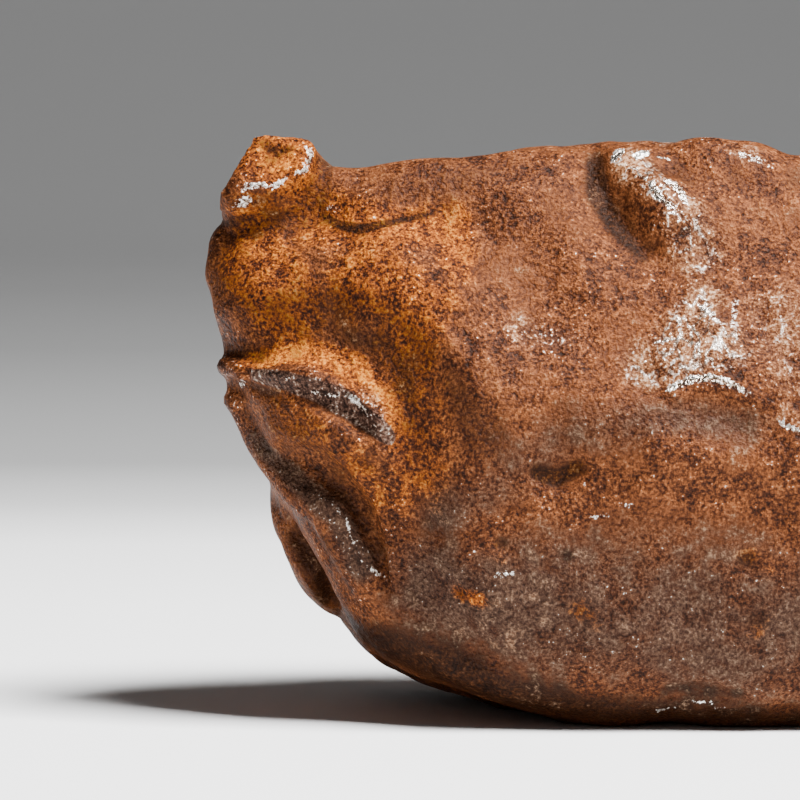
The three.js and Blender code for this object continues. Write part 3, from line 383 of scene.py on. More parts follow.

# Where the rust is ochre, grey, dark or rubbed, where shade and sheen are painted into it, and
# where metal or the lid's broken face shows: the finish, the side it is laid from, and the line of
# each mark
MARKS = tuple(Mark(tone, line, look) for tone, look, lines in (
    # ochre: horn, neck and pillow, brow, the slope right of the lid, the crest, and the belly
    (Tone.OCHRE, Look.FRONT, (
        ((-23.4, 33.2, 3.4, 1.5), (-21.8, 32.4, 3.2, 1.4)),
        ((-24.2, 29.6, 3.0, 0.9), (-24.5, 27.0, 4.0, 1.0), (-22.5, 24.5, 4.4, 1.0)),
        ((-20.5, 29.3, 3.4, 1.0), (-15.8, 28.6, 2.8, 1.1), (-12.8, 29.0, 2.2, 1.15),
         (-12.6, 26.6, 2.2, 0.7)),
        ((-18.0, 26.0, 4.6, 0.8), (-14.4, 24.8, 4.0, 0.7), (-15.5, 22.0, 4.0, 0.7),
         (-14.8, 18.5, 4.0, 0.62), (-14.8, 15.5, 4.0, 0.6), (-16.2, 13.2, 3.0, 0.5)),
        ((-24.6, 21.1, 1.4, 1.0), (-21.5, 21.7, 1.5, 1.8), (-18.6, 20.9, 1.5, 1.8),
         (-16.4, 18.7, 1.4, 1.3), (-15.9, 16.6, 1.3, 0.9)),
        ((-22.4, 18.2, 3.0, 0.45), (-19.2, 16.2, 3.0, 0.45), (-17.2, 13.5, 2.2, 0.5)),
    )),
    # grey: the rim, and the lower front down to the floor, where the grey is also painted shade and a
    # painted reflection of the floor
    (Tone.GREY, Look.FRONT, (
        ((-24.6, 16.6, 1.2, 0.7), (-21.7, 14.2, 1.4, 0.9), (-19.3, 12.2, 1.4, 1.0),
         (-18.0, 9.5, 2.0, 1.0)),
        ((-14.0, 8.5, 5.5, 0.8), (-6.0, 7.0, 9.0, 0.72), (5.0, 6.0, 9.5, 0.72),
         (16.0, 6.0, 9.0, 0.7), (23.0, 9.0, 7.0, 0.6)),
        ((-13.5, 12.5, 3.5, 0.6), (-10.0, 14.5, 3.5, 0.5), (-6.0, 17.5, 3.0, 0.45),
         (0.0, 18.2, 2.4, 0.6), (4.5, 17.8, 2.4, 0.5)),
    )),
    # dark, painted shade: the valley behind the crest, the groove above the rim, the crease beside the
    # foot lump and the hollow beside the knob; and darker at the centre left
    (Tone.DARK, Look.FRONT, (
        ((-19.0, 22.7, 1.4, 0.6), (-16.6, 22.2, 1.8, 0.8), (-15.4, 20.2, 1.8, 0.8),
         (-15.0, 18.0, 1.4, 0.6)),
        ((-20.6, 15.0, 0.9, 0.7), (-18.9, 13.2, 1.0, 0.9), (-17.8, 11.4, 0.9, 0.8)),
        ((-22.0, 10.4, 1.2, 0.7), (-21.0, 9.0, 1.4, 0.9), (-20.2, 7.0, 1.4, 0.9)),
        ((-4.3, 32.6, 1.0, 1.2), (-4.2, 30.6, 1.1, 1.4), (-3.2, 28.8, 1.1, 1.3),
         (-1.8, 27.2, 0.9, 0.9)),
        ((-12.6, 20.4, 3.0, 0.55), (-11.2, 17.0, 3.0, 0.65)),
        ((-20.2, 10.8, 1.2, 0.6), (-19.4, 9.2, 1.2, 0.5)),
        ((-16.0, 31.6, 2.6, 0.4), (-12.6, 32.0, 2.8, 0.5), (-9.0, 32.4, 2.4, 0.35)),
        # painted shade in the crack over the brow, at the foot of the neck under the brim, in the arc
        # on the shelf, and along the edge over the floor
        ((-20.35, 29.5, 0.45, 1.1), (-19.3, 29.0, 0.5, 1.7), (-18.1, 28.8, 0.55, 2.0),
         (-16.8, 29.0, 0.45, 1.7), (-14.9, 29.45, 0.4, 1.3), (-13.6, 29.8, 0.4, 0.8)),
        ((-26.2, 29.0, 0.6, 1.0), (-25.2, 29.2, 0.6, 0.9), (-24.0, 29.6, 0.5, 0.7),
         (-22.9, 30.1, 0.4, 0.5)),
        ((-23.8, 33.8, 0.55, 1.0), (-23.4, 33.35, 0.6, 1.5), (-22.9, 33.2, 0.6, 1.5),
         (-22.3, 33.35, 0.55, 1.0)),
        ((-25.7, 30.5, 0.9, 2.0),),
        ((-18.5, 5.5, 2.4, 1.1), (-14.0, 3.6, 3.4, 1.35), (-9.0, 1.8, 3.0, 1.2),
         (-2.0, 1.0, 2.4, 1.0), (8.0, 0.8, 2.0, 0.8), (18.0, 1.5, 2.0, 0.8)),
        # pits of the lower front
        ((-8.0, 15.1, 0.85, 1.0), (-6.9, 14.7, 1.05, 1.3), (-5.6, 15.4, 0.85, 1.0)),
    )),
    # ochre in the same pits
    (Tone.OCHRE, Look.FRONT, (
        ((-8.0, 15.1, 0.9, 0.4), (-6.9, 14.7, 1.1, 0.4), (-5.6, 15.4, 0.9, 0.5)),
        ((-12.4, 8.2, 1.0, 0.7), (-11.4, 7.8, 1.0, 0.7)),
        # rust-brown patches on the grey of the lower front, with dark in them
        ((-5.6, 7.3, 1.4, 0.42), (-4.6, 6.7, 1.3, 0.38)),
        ((4.4, 6.0, 1.3, 0.42), (5.0, 7.0, 1.1, 0.36)),
        ((4.2, 10.2, 1.2, 0.4), (5.6, 9.6, 1.3, 0.42)),
        ((-10.8, 11.0, 1.3, 0.42), (-10.0, 10.4, 1.1, 0.36)),
    )),
    (Tone.DARK, Look.FRONT, (
        ((-5.6, 7.3, 1.2, 0.5), (-4.6, 6.7, 1.1, 0.45)),
        ((4.4, 6.0, 1.1, 0.5), (5.0, 7.0, 0.9, 0.45)),
        # painted shade on the neck under the brim, and dark gaps in the ochre of the body's left and
        # under the lid
        ((-24.6, 30.4, 1.0, 0.4), (-23.0, 30.5, 1.0, 0.45), (-21.4, 30.8, 1.0, 0.4)),
        ((-26.0, 27.0, 3.2, 0.45), (-24.5, 24.2, 3.6, 0.5), (-20.8, 24.0, 3.4, 0.62),
         (-17.6, 24.6, 2.8, 0.42), (-15.6, 22.6, 3.2, 0.55), (-14.4, 19.5, 3.2, 0.55),
         (-14.8, 16.0, 2.6, 0.45)),
        ((-23.0, 17.8, 2.6, 0.42), (-20.0, 15.8, 2.6, 0.45), (-18.0, 13.0, 2.2, 0.45)),
    )),
    # broken face of the lid
    (Tone.BROKEN, Look.FRONT, (
        ((-24.3, 20.3, 0.7, 0.8), (-22.4, 20.1, 1.0, 1.0), (-20.6, 19.6, 1.2, 1.0),
         (-18.8, 18.8, 1.25, 1.0), (-17.4, 17.8, 1.1, 1.0), (-16.5, 17.0, 0.8, 0.9)),
    )),
    # worn, with a painted sheen where light falls: knob and the rise behind it, wrinkled patch over the
    # ledge, far right, centre, top edge
    (Tone.WORN, Look.FRONT, (
        ((-2.6, 32.8, 1.4, 0.8), (-0.6, 31.4, 1.8, 0.9), (0.6, 30.0, 2.0, 0.9),
         (1.6, 27.2, 2.6, 0.6)),
        ((1.8, 25.0, 2.0, 0.7), (0.6, 22.8, 2.8, 0.9), (2.8, 22.2, 2.8, 0.9),
         (-1.5, 21.2, 2.6, 0.7)),
        ((5.6, 24.0, 4.0, 0.4), (6.4, 21.0, 3.2, 0.4), (7.2, 17.6, 2.0, 0.2)),
        ((-9.0, 23.0, 1.8, 0.45), (-6.4, 22.4, 1.8, 0.4)),
        ((-17.9, 19.6, 0.8, 0.7), (-17.0, 18.4, 0.8, 0.7)),
        ((3.8, 33.4, 1.2, 0.4), (5.4, 32.8, 1.2, 0.4)),
    )),
    # back: ochre along the lip, grey low down, rubbed shoulders, and painted shade under the lip and
    # along the edge over the floor
    (Tone.OCHRE, Look.BACK, (
        ((-14.0, 27.0, 5.0, 0.7), (-6.0, 24.5, 5.0, 0.9), (2.0, 21.0, 5.0, 0.7)),
        ((12.0, 27.0, 5.0, 0.6), (18.0, 20.0, 4.0, 0.6)),
    )),
    (Tone.GREY, Look.BACK, (
        ((-16.0, 6.0, 7.0, 0.6), (-2.0, 7.0, 9.0, 0.7), (14.0, 7.0, 8.0, 0.6)),
    )),
    (Tone.WORN, Look.BACK, (
        ((2.0, 28.0, 3.0, 0.4), (6.0, 25.0, 3.5, 0.6), (8.0, 21.0, 3.0, 0.4)),
        ((-14.0, 14.0, 3.0, 0.3), (-11.0, 12.0, 3.0, 0.45)),
    )),
    (Tone.DARK, Look.BACK, (
        ((-12.0, 19.0, 4.0, 0.5), (-4.0, 16.0, 4.0, 0.5)),
        ((-18.0, 1.2, 2.0, 0.9), (0.0, 0.8, 2.0, 0.9), (18.0, 1.2, 2.0, 0.9)),
    )),
    # right end: ochre in the dents, grey round its foot, and a rubbed ridge
    (Tone.OCHRE, Look.RIGHT, (
        ((-5.0, 22.0, 4.0, 0.7), (3.0, 16.0, 5.0, 0.9)),
    )),
    (Tone.GREY, Look.RIGHT, (
        ((-7.0, 7.0, 5.0, 0.7), (4.0, 6.0, 6.0, 0.8)),
    )),
    (Tone.WORN, Look.RIGHT, (
        ((1.0, 26.0, 2.4, 0.45), (-1.0, 21.0, 2.4, 0.6), (-2.0, 16.0, 2.4, 0.4)),
    )),
    # top: ochre behind the horn, grey-brown middle, and rubbed rises
    (Tone.OCHRE, Look.TOP, (
        ((-20.0, 2.0, 5.0, 0.9), (-12.0, 3.0, 5.0, 0.7)),
    )),
    (Tone.GREY, Look.TOP, (
        ((-4.0, 4.0, 5.0, 0.5), (8.0, 3.0, 6.0, 0.6)),
    )),
    (Tone.WORN, Look.TOP, (
        ((0.0, -2.0, 3.0, 0.5), (6.0, 0.0, 3.0, 0.45)),
    )),
    (Tone.OCHRE, Look.TOP, (
        ((14.0, -2.0, 5.0, 0.7), (18.0, 3.0, 4.0, 0.7)),
    )),
    # bare metal: brim of the horn, right rim of its ball, bump by the crack, lid's left corner
    (Tone.BARE, Look.FRONT, (
        ((-20.0, 30.0, 0.7, 0.95), (-19.4, 29.9, 0.7, 0.9)),
        ((-25.2, 30.96, 0.7, 1.2), (-24.9, 31.2, 0.7, 1.2), (-23.6, 31.27, 0.65, 1.2),
         (-22.8, 31.41, 0.65, 1.2), (-22.06, 31.68, 0.7, 1.2), (-21.5, 32, 0.7, 1.2),
         (-21.18, 32.49, 0.7, 1.2), (-21, 32.9, 0.7, 1.2), (-21, 33.3, 0.7, 1.1),
         (-21.2, 33.6, 0.6, 1.0)),
        ((-25, 30.9, 0.65, 1.1), (-24.7, 30.5, 0.65, 1.15), (-24.9, 30.15, 0.65, 1.1),
         (-25.4, 30, 0.6, 1.0)),
        ((-25.1, 19.6, 0.69, 0.97), (-25, 20.2, 0.73, 1), (-24.5, 20.7, 0.69, 0.97)),
        # glints of the lid's broken face, and edge of the rim
        ((-20.8, 19.5, 0.63, 0.92), (-19.5, 19.3, 0.63, 0.92)),
        ((-18.9, 19.5, 0.6, 0.92), (-18.3, 19, 0.84, 0.97), (-17.7, 18.3, 0.73, 0.94)),
        ((-20.5, 13.4, 0.6, 0.8), (-19.5, 12.9, 0.6, 0.89), (-18.9, 12.1, 0.6, 0.92),
         (-18.4, 10.6, 0.6, 0.92), (-17.96, 9.6, 0.6, 0.86), (-17.2, 9, 0.63, 0.92),
         (-16.3, 8.5, 0.6, 0.8)),
        # knob
        ((-3.3, 32.8, 0.6, 1.1), (-2.9, 33.25, 0.8, 1.25)),
        ((-1.9, 33, 0.65, 1.2), (-1.4, 33.2, 0.7, 1.2)),
        ((-0.7, 33, 0.63, 0.97), (-0.1, 32.8, 0.63, 0.94)),
        ((-1.2, 31.5, 0.7, 1.05), (-0.8, 30.7, 0.75, 1.15), (0, 30.15, 0.75, 1.1)),
        ((-0.3, 31.6, 0.7, 1.1), (0.4, 31.2, 0.85, 1.2), (0.7, 30.5, 0.75, 1.1)),
        ((0.2, 29.8, 1.05, 0.89), (1, 29.2, 1.05, 0.86)),
        # ledge and the glints over it
        ((-0.5, 19.8, 0.6, 1.0), (0.25, 20.1, 0.65, 1.1), (0.95, 20.4, 0.7, 1.2),
         (1.95, 20.45, 0.7, 1.2), (2.8, 20.3, 0.7, 1.15), (3.6, 19.9, 0.6, 1.05),
         (4.3, 19.5, 0.6, 0.95)),
        ((-1.1, 22.4, 0.73, 0.94), (-0.4, 22.6, 0.63, 0.92)),
        ((1.5, 24.5, 0.6, 0.92), (2.1, 24, 0.63, 0.94), (2.6, 23.5, 0.6, 0.92)),
        ((3.6, 24.8, 0.6, 0.89), (3.3, 23.4, 0.6, 0.92)),
        ((-8.9, 23.1, 0.8, 0.8), (-7.4, 22.8, 0.9, 0.85), (-6.6, 22.5, 0.8, 0.85)),
        # scattered rubs of the lower front, lip by the floor, and top edge
        ((6, 17.9, 0.6, 0.94), (7, 17.4, 0.63, 0.97), (8.4, 17, 0.6, 0.94)),
        ((-4.8, 12.5, 0.6, 0.86), (-3.8, 12.65, 0.6, 0.87)),
        ((-3.1, 13.2, 0.6, 0.86), (-2.4, 13.2, 0.6, 0.86)),
        ((-10.4, 9.1, 0.7, 0.78), (-9.6, 9.3, 0.8, 0.8), (-8.7, 9.25, 0.6, 0.78)),
        ((-0.9, 1.1, 0.6, 0.92), (0.4, 1.45, 0.6, 0.97), (1.8, 1.6, 0.6, 0.97),
         (2.8, 1.35, 0.6, 0.92)),
        ((4.3, 33.1, 1.05, 0.89), (5.3, 32.7, 1.05, 0.89)),
    )),
) for line in lines)


class ValueNoise:
    """Smooth noise from -1 to 1, from a table of hashed values at the corners of cells."""

    # Cells along a side before the noise repeats, and the numbers that a cell's value is hashed by
    SIDE = 32
    FIRST_FACTOR = 2654435761
    SEED_FACTOR = 97531
    WORD = 0xFFFFFFFF
    ROUNDS = ((16, 0x45D9F3B), (16, 0x45D9F3B), (16, 1))

    def __init__(self, seed: int) -> None:
        """Fill the table: three rounds of shift, exclusive or and multiply on the cell's number.

        Args:
            seed: a whole number; each gives a noise of its own.
        """
        value = np.arange(self.SIDE**3, dtype=np.uint64) * self.FIRST_FACTOR
        value = (value + seed * self.SEED_FACTOR) & self.WORD
        for shift, factor in self.ROUNDS:
            value = ((value ^ (value >> np.uint64(shift))) * np.uint64(factor)) & np.uint64(self.WORD)
        self.table = (value / self.WORD * 2 - 1).reshape((self.SIDE,) * 3)

    def at(self, points: np.ndarray, wavelength: float) -> np.ndarray:
        """The eight corner values mixed by t^3 (t (6 t - 15) + 10) of the place in the cell.

        Args:
            points: rows of x, y, z in mm.
            wavelength: the cell's side in mm.

        Returns:
            One value for each point.
        """
        place = points / wavelength
        cell = np.floor(place).astype(int)
        t = place - cell
        fx, fy, fz = (t * t * t * (t * (t * 6 - 15) + 10)).T
        x0, y0, z0 = (cell % self.SIDE).T
        x1, y1, z1 = ((cell + 1) % self.SIDE).T
        value = self.table
        low = value[x0, y0, z0] * (1 - fx) + value[x1, y0, z0] * fx
        low_far = value[x0, y1, z0] * (1 - fx) + value[x1, y1, z0] * fx
        high = value[x0, y0, z1] * (1 - fx) + value[x1, y0, z1] * fx
        high_far = value[x0, y1, z1] * (1 - fx) + value[x1, y1, z1] * fx
        return (low * (1 - fy) + low_far * fy) * (1 - fz) + (high * (1 - fy) + high_far * fy) * fz


def flat_sided(points: np.ndarray, sides: Iterable[Side], softness: float) -> np.ndarray:
    """Distance to a solid with flat sides, which is the soft maximum of those to its sides.

    The soft maximum of the distances d is s log(sum of exp(d / s)), with s the softness, so the
    edges come out rounded.

    Args:
        points: rows of x, y, z in mm.
        sides: the flat sides.
        softness: how soft the edges are, in mm.

    Returns:
        One distance for each point, negative inside.
    """
    facing = np.array([side.facing for side in sides], float)
    facing /= np.linalg.norm(facing, axis=1, keepdims=True)
    level = (facing * np.array([side.through for side in sides], float)).sum(1)
    each = points @ facing.T - level
    most = each.max(1)
    return most + softness * np.log(np.exp((each - most[:, None]) / softness).sum(1))


# The least squared length that a division is made by, in mm^2, for a line of a single point
LEAST_SQUARE = 1e-9


def along(points: np.ndarray, line: np.ndarray) -> Iterable[tuple[np.ndarray, np.ndarray]]:
    """Walk the stretches of a line, giving what lies nearest to each point on every stretch.

    Args:
        points: rows of x, y, z in mm.
        line: rows of x, y, z and the line's own values.

    Yields:
        The squared distance of each point to the stretch, and the values at the nearest place.
    """
    ends = zip(line, line[1:]) if len(line) > 1 else ((line[0], line[0]),)
    for a, b in ends:
        way = b[:3] - a[:3]
        t = np.clip((points - a[:3]) @ way / max(way @ way, LEAST_SQUARE), 0, 1)[:, None]
        yield ((points - a[:3] - t * way) ** 2).sum(1), a[3:] + t * (b[3:] - a[3:])


def soft_height(points: np.ndarray, line: np.ndarray) -> np.ndarray:
    """Height of a soft form along a line: h (1 - (d / w)^2)^2 within its width w, else nought.

    Args:
        points: rows of x, y, z in mm.
        line: rows of x, y, z, width and height.

    Returns:
        The height at each point.
    """
    most = np.zeros(len(points))
    for squared, value in along(points, line):
        u = np.clip(1 - squared / value[:, 0] ** 2, 0, 1)
        most = np.maximum(most, value[:, 1] * u * u)
    return most


def bead_distance(points: np.ndarray, line: np.ndarray) -> np.ndarray:
    """Distance to balls joined by tapering rods: that to the line, less the radius there.

    Args:
        points: rows of x, y, z in mm.
        line: rows of x, y, z and radius.

    Returns:
        One distance for each point.
    """
    least = np.full(len(points), np.inf)
    for squared, value in along(points, line):
        least = np.minimum(least, np.sqrt(squared) - value[:, 0])
    return least


def filleted(a: np.ndarray, b: np.ndarray, blend: float) -> np.ndarray:
    """The lesser of two distances, less blend (1 - |a - b| / blend)^2 / 4 where they are near."""
    near = np.maximum(blend - np.abs(a - b), 0) / blend
    return np.minimum(a, b) - near * near * blend * 0.25


@dataclass
class Layer:
    """A change to the distance inside the box that a line of points reaches."""

    line: np.ndarray
    change: Callable[[np.ndarray, np.ndarray], np.ndarray]
    spare: float = 0.0

    def __post_init__(self) -> None:
        """Work out the box that the layer reaches."""
        reach = self.line[:, 3].max() + self.spare
        self.low = self.line[:, :3].min(0) - reach
        self.high = self.line[:, :3].max(0) + reach

    def apply(self, points: np.ndarray, distance: np.ndarray) -> None:
        """Change the distances of the points in the box, in place.

        Args:
            points: rows of x, y, z in mm.
            distance: the distance of each point so far.
        """
        near = ((points > self.low) & (points < self.high)).all(1)
        if near.any():
            distance[near] = self.change(points[near], distance[near])


# How far past its fillet a joined bead or block is still reckoned with, in mm
SPARE = 0.8


def soft_layer(line: np.ndarray, sign: int) -> Layer:
    """A layer that raises (sign 1) or sinks (sign -1) the surface by a soft form's height."""
    return Layer(line, lambda p, d: d - sign * soft_height(p, line))


def bead_layer(line: np.ndarray, blend: float) -> Layer:
    """A layer that joins beads on, with a fillet."""
    return Layer(line, lambda p, d: filleted(d, bead_distance(p, line), blend), blend + SPARE)


def block_layer(block: Block) -> Layer:
    """A layer that joins a flat-sided block on, with a fillet.

    Args:
        block: the block.

    Returns:
        The layer.
    """
    middle = np.array([[*block.middle, block.reach]])
    return Layer(middle, lambda p, d: filleted(
        d, flat_sided(p, block.sides, block.softness), block.blend), block.blend + SPARE)


@dataclass
class Surface:
    """The body's flat sides with layers laid on them in order."""

    edge_softness: float = 0.8
    on_surface: float = 0.005
    outside: float = 24.0
    step_share: float = 0.7
    most_steps: int = 400
    pulls: int = 8
    laying_slope: float = 0.05
    layers: list[Layer] = field(default_factory=list)

    def distance(self, points: np.ndarray) -> np.ndarray:
        """Distance in mm to the surface, negative inside.

        Args:
            points: rows of x, y, z in mm.

        Returns:
            One distance for each point.
        """
        found = flat_sided(points, BODY_SIDES, self.edge_softness)
        for layer in self.layers:
            layer.apply(points, found)
        return found

    def facing(self, points: np.ndarray) -> np.ndarray:
        """Unit slope of the distance, from its differences a short way to either side.

        Args:
            points: rows of x, y, z in mm.

        Returns:
            One unit vector for each point.
        """
        slope = np.empty_like(points)
        for axis, step in enumerate(np.eye(3) * self.laying_slope):
            slope[:, axis] = self.distance(points + step) - self.distance(points - step)
        return slope / np.linalg.norm(slope, axis=1, keepdims=True)

    def looked_at(self, rows: list[tuple[Look, Row]]) -> np.ndarray:
        """Points of the surface met by looking straight at it from a side.

        Each look steps inwards by a share of the distance left. Where it passes by, the point
        that it passed nearest to is pulled onto the surface.

        Args:
            rows: for each point, the look, and a row that starts with across and up.

        Returns:
            Rows of x, y, z in mm.
        """
        axis = np.array([look.axis for look, _ in rows])
        start = np.array([look.start for look, _ in rows])
        points = np.array([[row[0], row[1]] for _, row in rows])
        points = np.array([np.insert(p, a, s) for p, a, s in zip(points, axis, start)])
        which = np.arange(len(rows))
        inward = -np.sign(start)
        best, least = points.copy(), np.full(len(rows), np.inf)
        live = which
        for _ in range(self.most_steps):
            found = self.distance(points[live])
            nearer = found < least[live]
            best[live[nearer]] = points[live[nearer]]
            least[live[nearer]] = found[nearer]
            past = points[live, axis[live]] * inward[live] > self.outside
            going = (found >= self.on_surface) & ~past
            live, found = live[going], found[going]
            if not len(live):
                break
            step = np.maximum(found * self.step_share, 2 * self.on_surface)
            points[live, axis[live]] += inward[live] * step
        far = which[least > self.on_surface]
        for _ in range(self.pulls if len(far) else 0):
            pull = self.distance(best[far]) * self.step_share
            best[far] -= self.facing(best[far]) * pull[:, None]
        return best

    def laid(self, forms: Iterable[Form | Mark]) -> list[np.ndarray]:
        """Lay the lines of forms or marks on the surface.

        Args:
            forms: the forms or marks.

        Returns:
            For each, rows of x, y, z in mm and the line's own values.
        """
        forms = list(forms)
        places = self.looked_at([(form.look, row) for form in forms for row in form.line])
        lines, used = [], 0
        for form in forms:
            values = np.array(form.line)[:, 2:]
            lines.append(np.hstack([places[used:used + len(values)], values]))
            used += len(values)
        return lines

    def add_forms(self, forms: tuple[Form, ...], laid_on: "Surface") -> None:
        """Lay forms on a surface and add them as layers.

        A fold's radius is its half width w where its height h is more than that, else
        (w^2 + h^2) / 2h, and its line is sunk so that the bead stands out by h.

        Args:
            forms: the forms, in order.
            laid_on: the surface that their lines lie on.
        """
        for form, line in zip(forms, laid_on.laid(forms)):
            if form.kind is not Kind.FOLD:
                self.layers.append(soft_layer(line, form.kind.value))
                continue
            width, height = line[:, 3], line[:, 4]
            radius = np.where(height >= width, width, (width**2 + height**2) / (2 * height))
            line[:, :3] += laid_on.facing(line[:, :3]) * (height - radius)[:, None]
            self.layers.append(bead_layer(np.column_stack([line[:, :3], radius]), form.blend))

    def so_far(self) -> "Surface":
        """A copy with the layers that there are by now."""
        return Surface(self.edge_softness, layers=list(self.layers))


@dataclass
class NaturalSurface(Surface):
    """A formed surface whose forms wander a little, made finely uneven, and cut at z = 0.

    The unevenness has rows of height and wavelength, in mm.
    """

    wander: float = 0.25
    wander_wavelength: float = 4.0
    unevenness: tuple[Row, ...] = ((0.30, 7.0), (0.14, 3.0), (0.06, 1.2))

    def __post_init__(self) -> None:
        """Make the noises: three to wander by, and one for each size of unevenness."""
        self.noises = [ValueNoise(seed) for seed in range(1, 4 + len(self.unevenness))]

    def distance(self, points: np.ndarray) -> np.ndarray:
        """The formed distance at places moved by noise, less the unevenness, cut at z = 0.

        Args:
            points: rows of x, y, z in mm.

        Returns:
            One distance for each point, negative inside.
        """
        shift = np.stack([n.at(points, self.wander_wavelength) for n in self.noises[:3]], 1)
        found = super().distance(points + self.wander * shift)
        for (height, wavelength), noise in zip(self.unevenness, self.noises[3:]):
            found -= height * noise.at(points, wavelength)
        return np.maximum(found, -points[:, 2])


@dataclass
class Lattice:
    """The points and four-sided patches of a finely divided box, welded at its edges."""

    divisions: tuple[int, int, int]

    def __post_init__(self) -> None:
        """Number the points of the six faces, and merge those that faces share."""
        keys, patches, used = [], [], 0
        for axis in range(3):
            u, v = (axis + 1) % 3, (axis + 2) % 3
            for end in (0, self.divisions[axis]):
                across, up = np.meshgrid(np.arange(self.divisions[u] + 1),
                                         np.arange(self.divisions[v] + 1), indexing="ij")
                key = np.zeros((*across.shape, 3), int)
                key[..., axis], key[..., u], key[..., v] = end, across, up
                number = used + np.arange(across.size).reshape(across.shape)
                patch = np.stack([number[:-1, :-1], number[1:, :-1],
                                  number[1:, 1:], number[:-1, 1:]], -1).reshape(-1, 4)
                keys.append(key.reshape(-1, 3))
                patches.append(patch if end else patch[:, ::-1])
                used += across.size
        self.keys, number = np.unique(np.concatenate(keys), axis=0, return_inverse=True)
        self.patches = number.reshape(-1)[np.concatenate(patches)]
        sides = np.concatenate([self.patches[:, [k, (k + 1) % 4]] for k in range(4)])
        self.edges = np.unique(np.sort(sides, axis=1), axis=0).T

    def ways_out(self, skew: Vec) -> np.ndarray:
        """Directions from the middle: tan((t + s (1 - t^2)) pi / 4) of each coordinate, made unit.

        Args:
            skew: how far each axis crowds towards its lower end.

        Returns:
            One unit vector for each point.
        """
        t = self.keys / np.array(self.divisions) * 2 - 1
        way = np.tan((t + np.array(skew) * (1 - t * t)) * np.pi / 4)
        return way / np.linalg.norm(way, axis=1, keepdims=True)

    def from_coarser(self, coarse: "Lattice", points: np.ndarray) -> np.ndarray:
        """Points for this lattice as the means of those of one with half its divisions.

        Args:
            coarse: the coarser lattice.
            points: its points.

        Returns:
            One point for each key of this lattice.
        """
        place = np.zeros([d + 1 for d in coarse.divisions], int)
        place[tuple(coarse.keys.T)] = np.arange(len(points))
        low, high = self.keys // 2, (self.keys + 1) // 2
        total = 0.0
        for corner in range(8):
            pick = [(high if corner >> axis & 1 else low)[:, axis] for axis in range(3)]
            total = total + points[place[tuple(pick)]]
        return total / 8

    def neighbour_mean(self, values: np.ndarray, weights: np.ndarray) -> np.ndarray:
        """The weighted mean of each point's neighbours' values.

        Args:
            values: one row for each point.
            weights: one weight for each point.

        Returns:
            One row of means for each point.
        """
        a, b = self.edges
        count = len(self.keys)
        total = np.bincount(a, weights[b], count) + np.bincount(b, weights[a], count)
        columns = [np.bincount(a, weights[b] * v[b], count) + np.bincount(b, weights[a] * v[a], count)
                   for v in values.T]
        return np.stack(columns, 1) / total[:, None]


def linear(code: str) -> tuple[float, float, float, float]:
    """Turn an sRGB hex colour to a linear one by the standard curve, with full opacity.

    Args:
        code: six hex digits.

    Returns:
        Red, green, blue and alpha.
    """
    parts = [int(code[i:i + 2], 16) / 255 for i in (0, 2, 4)]
    red, green, blue = (p / 12.92 if p <= 0.04045 else ((p + 0.055) / 1.055) ** 2.4 for p in parts)
    return (red, green, blue, 1.0)


def add(tree: bpy.types.NodeTree, kind: str, inputs: dict, out: int | str = 0,
        stops: Stops = (), **settings: object) -> bpy.types.NodeSocket:
    """Add one node: its settings, a value or a link for each input, and its colour stops.

    Args:
        tree: the node tree.
        kind: the node's type, without the ShaderNode that its full name starts with.
        inputs: for each socket named or numbered, a value, or the output that feeds it.
        out: the output wanted, named or numbered.
        stops: (place, hex colour) pairs for a Color Ramp.
        settings: properties of the node.

    Returns:
        The output socket that was asked for.
    """
    node = tree.nodes.new("ShaderNode" + kind)
    for name, value in settings.items():
        setattr(node, name, value)
    for socket, value in inputs.items():
        if isinstance(value, bpy.types.NodeSocket):
            tree.links.new(value, node.inputs[socket])
        else:
            node.inputs[socket].default_value = value
    for number, (place, code) in enumerate(stops):
        elements = node.color_ramp.elements
        element = elements[number] if number < 2 else elements.new(place)
        element.position, element.color = place, linear(code)
    return node.outputs[out]


def placed(name: str, data: bpy.types.ID) -> bpy.types.Object:
    """Put a mesh, a light or a camera into the scene.

    Args:
        name: the object's name.
        data: what it shows.

    Returns:
        The object.
    """
    made = bpy.data.objects.new(name, data)
    bpy.context.scene.collection.objects.link(made)
    return made


def smooth_piece(name: str, points: np.ndarray, patches: np.ndarray,
                 material: bpy.types.Material) -> bpy.types.Object:
    """Make a smoothly shaded mesh, and put it into the scene.

    Args:
        name: the name of the mesh and of its object.
        points: rows of x, y, z in metres.
        patches: the numbers of each patch's four points.
        material: its material.

    Returns:
        The object.
    """
    mesh = bpy.data.meshes.new(name)
    mesh.from_pydata(points, [], patches.tolist())
    mesh.polygons.foreach_set("use_smooth", np.ones(len(patches), bool))
    mesh.materials.append(material)
    return placed(name, mesh)


@dataclass(frozen=True)
class Cover:
    """A kind of rust that lies over the skin where its mark is strong; the dark and grey covers also
    paint shade, and the worn cover a sheen.

    It takes over as its mark's strength, with the ragged noise added by its share, goes from low
    to high, and never hides more of the skin than its most. Its colours go by the mottle, and a
    cover of a single colour has a single stop.
    """

    tone: Tone
    stops: Stops
    low: float
    high: float
    ragged_share: float = 1.0
    most: float = 1.0
    change: str = "SMOOTHSTEP"


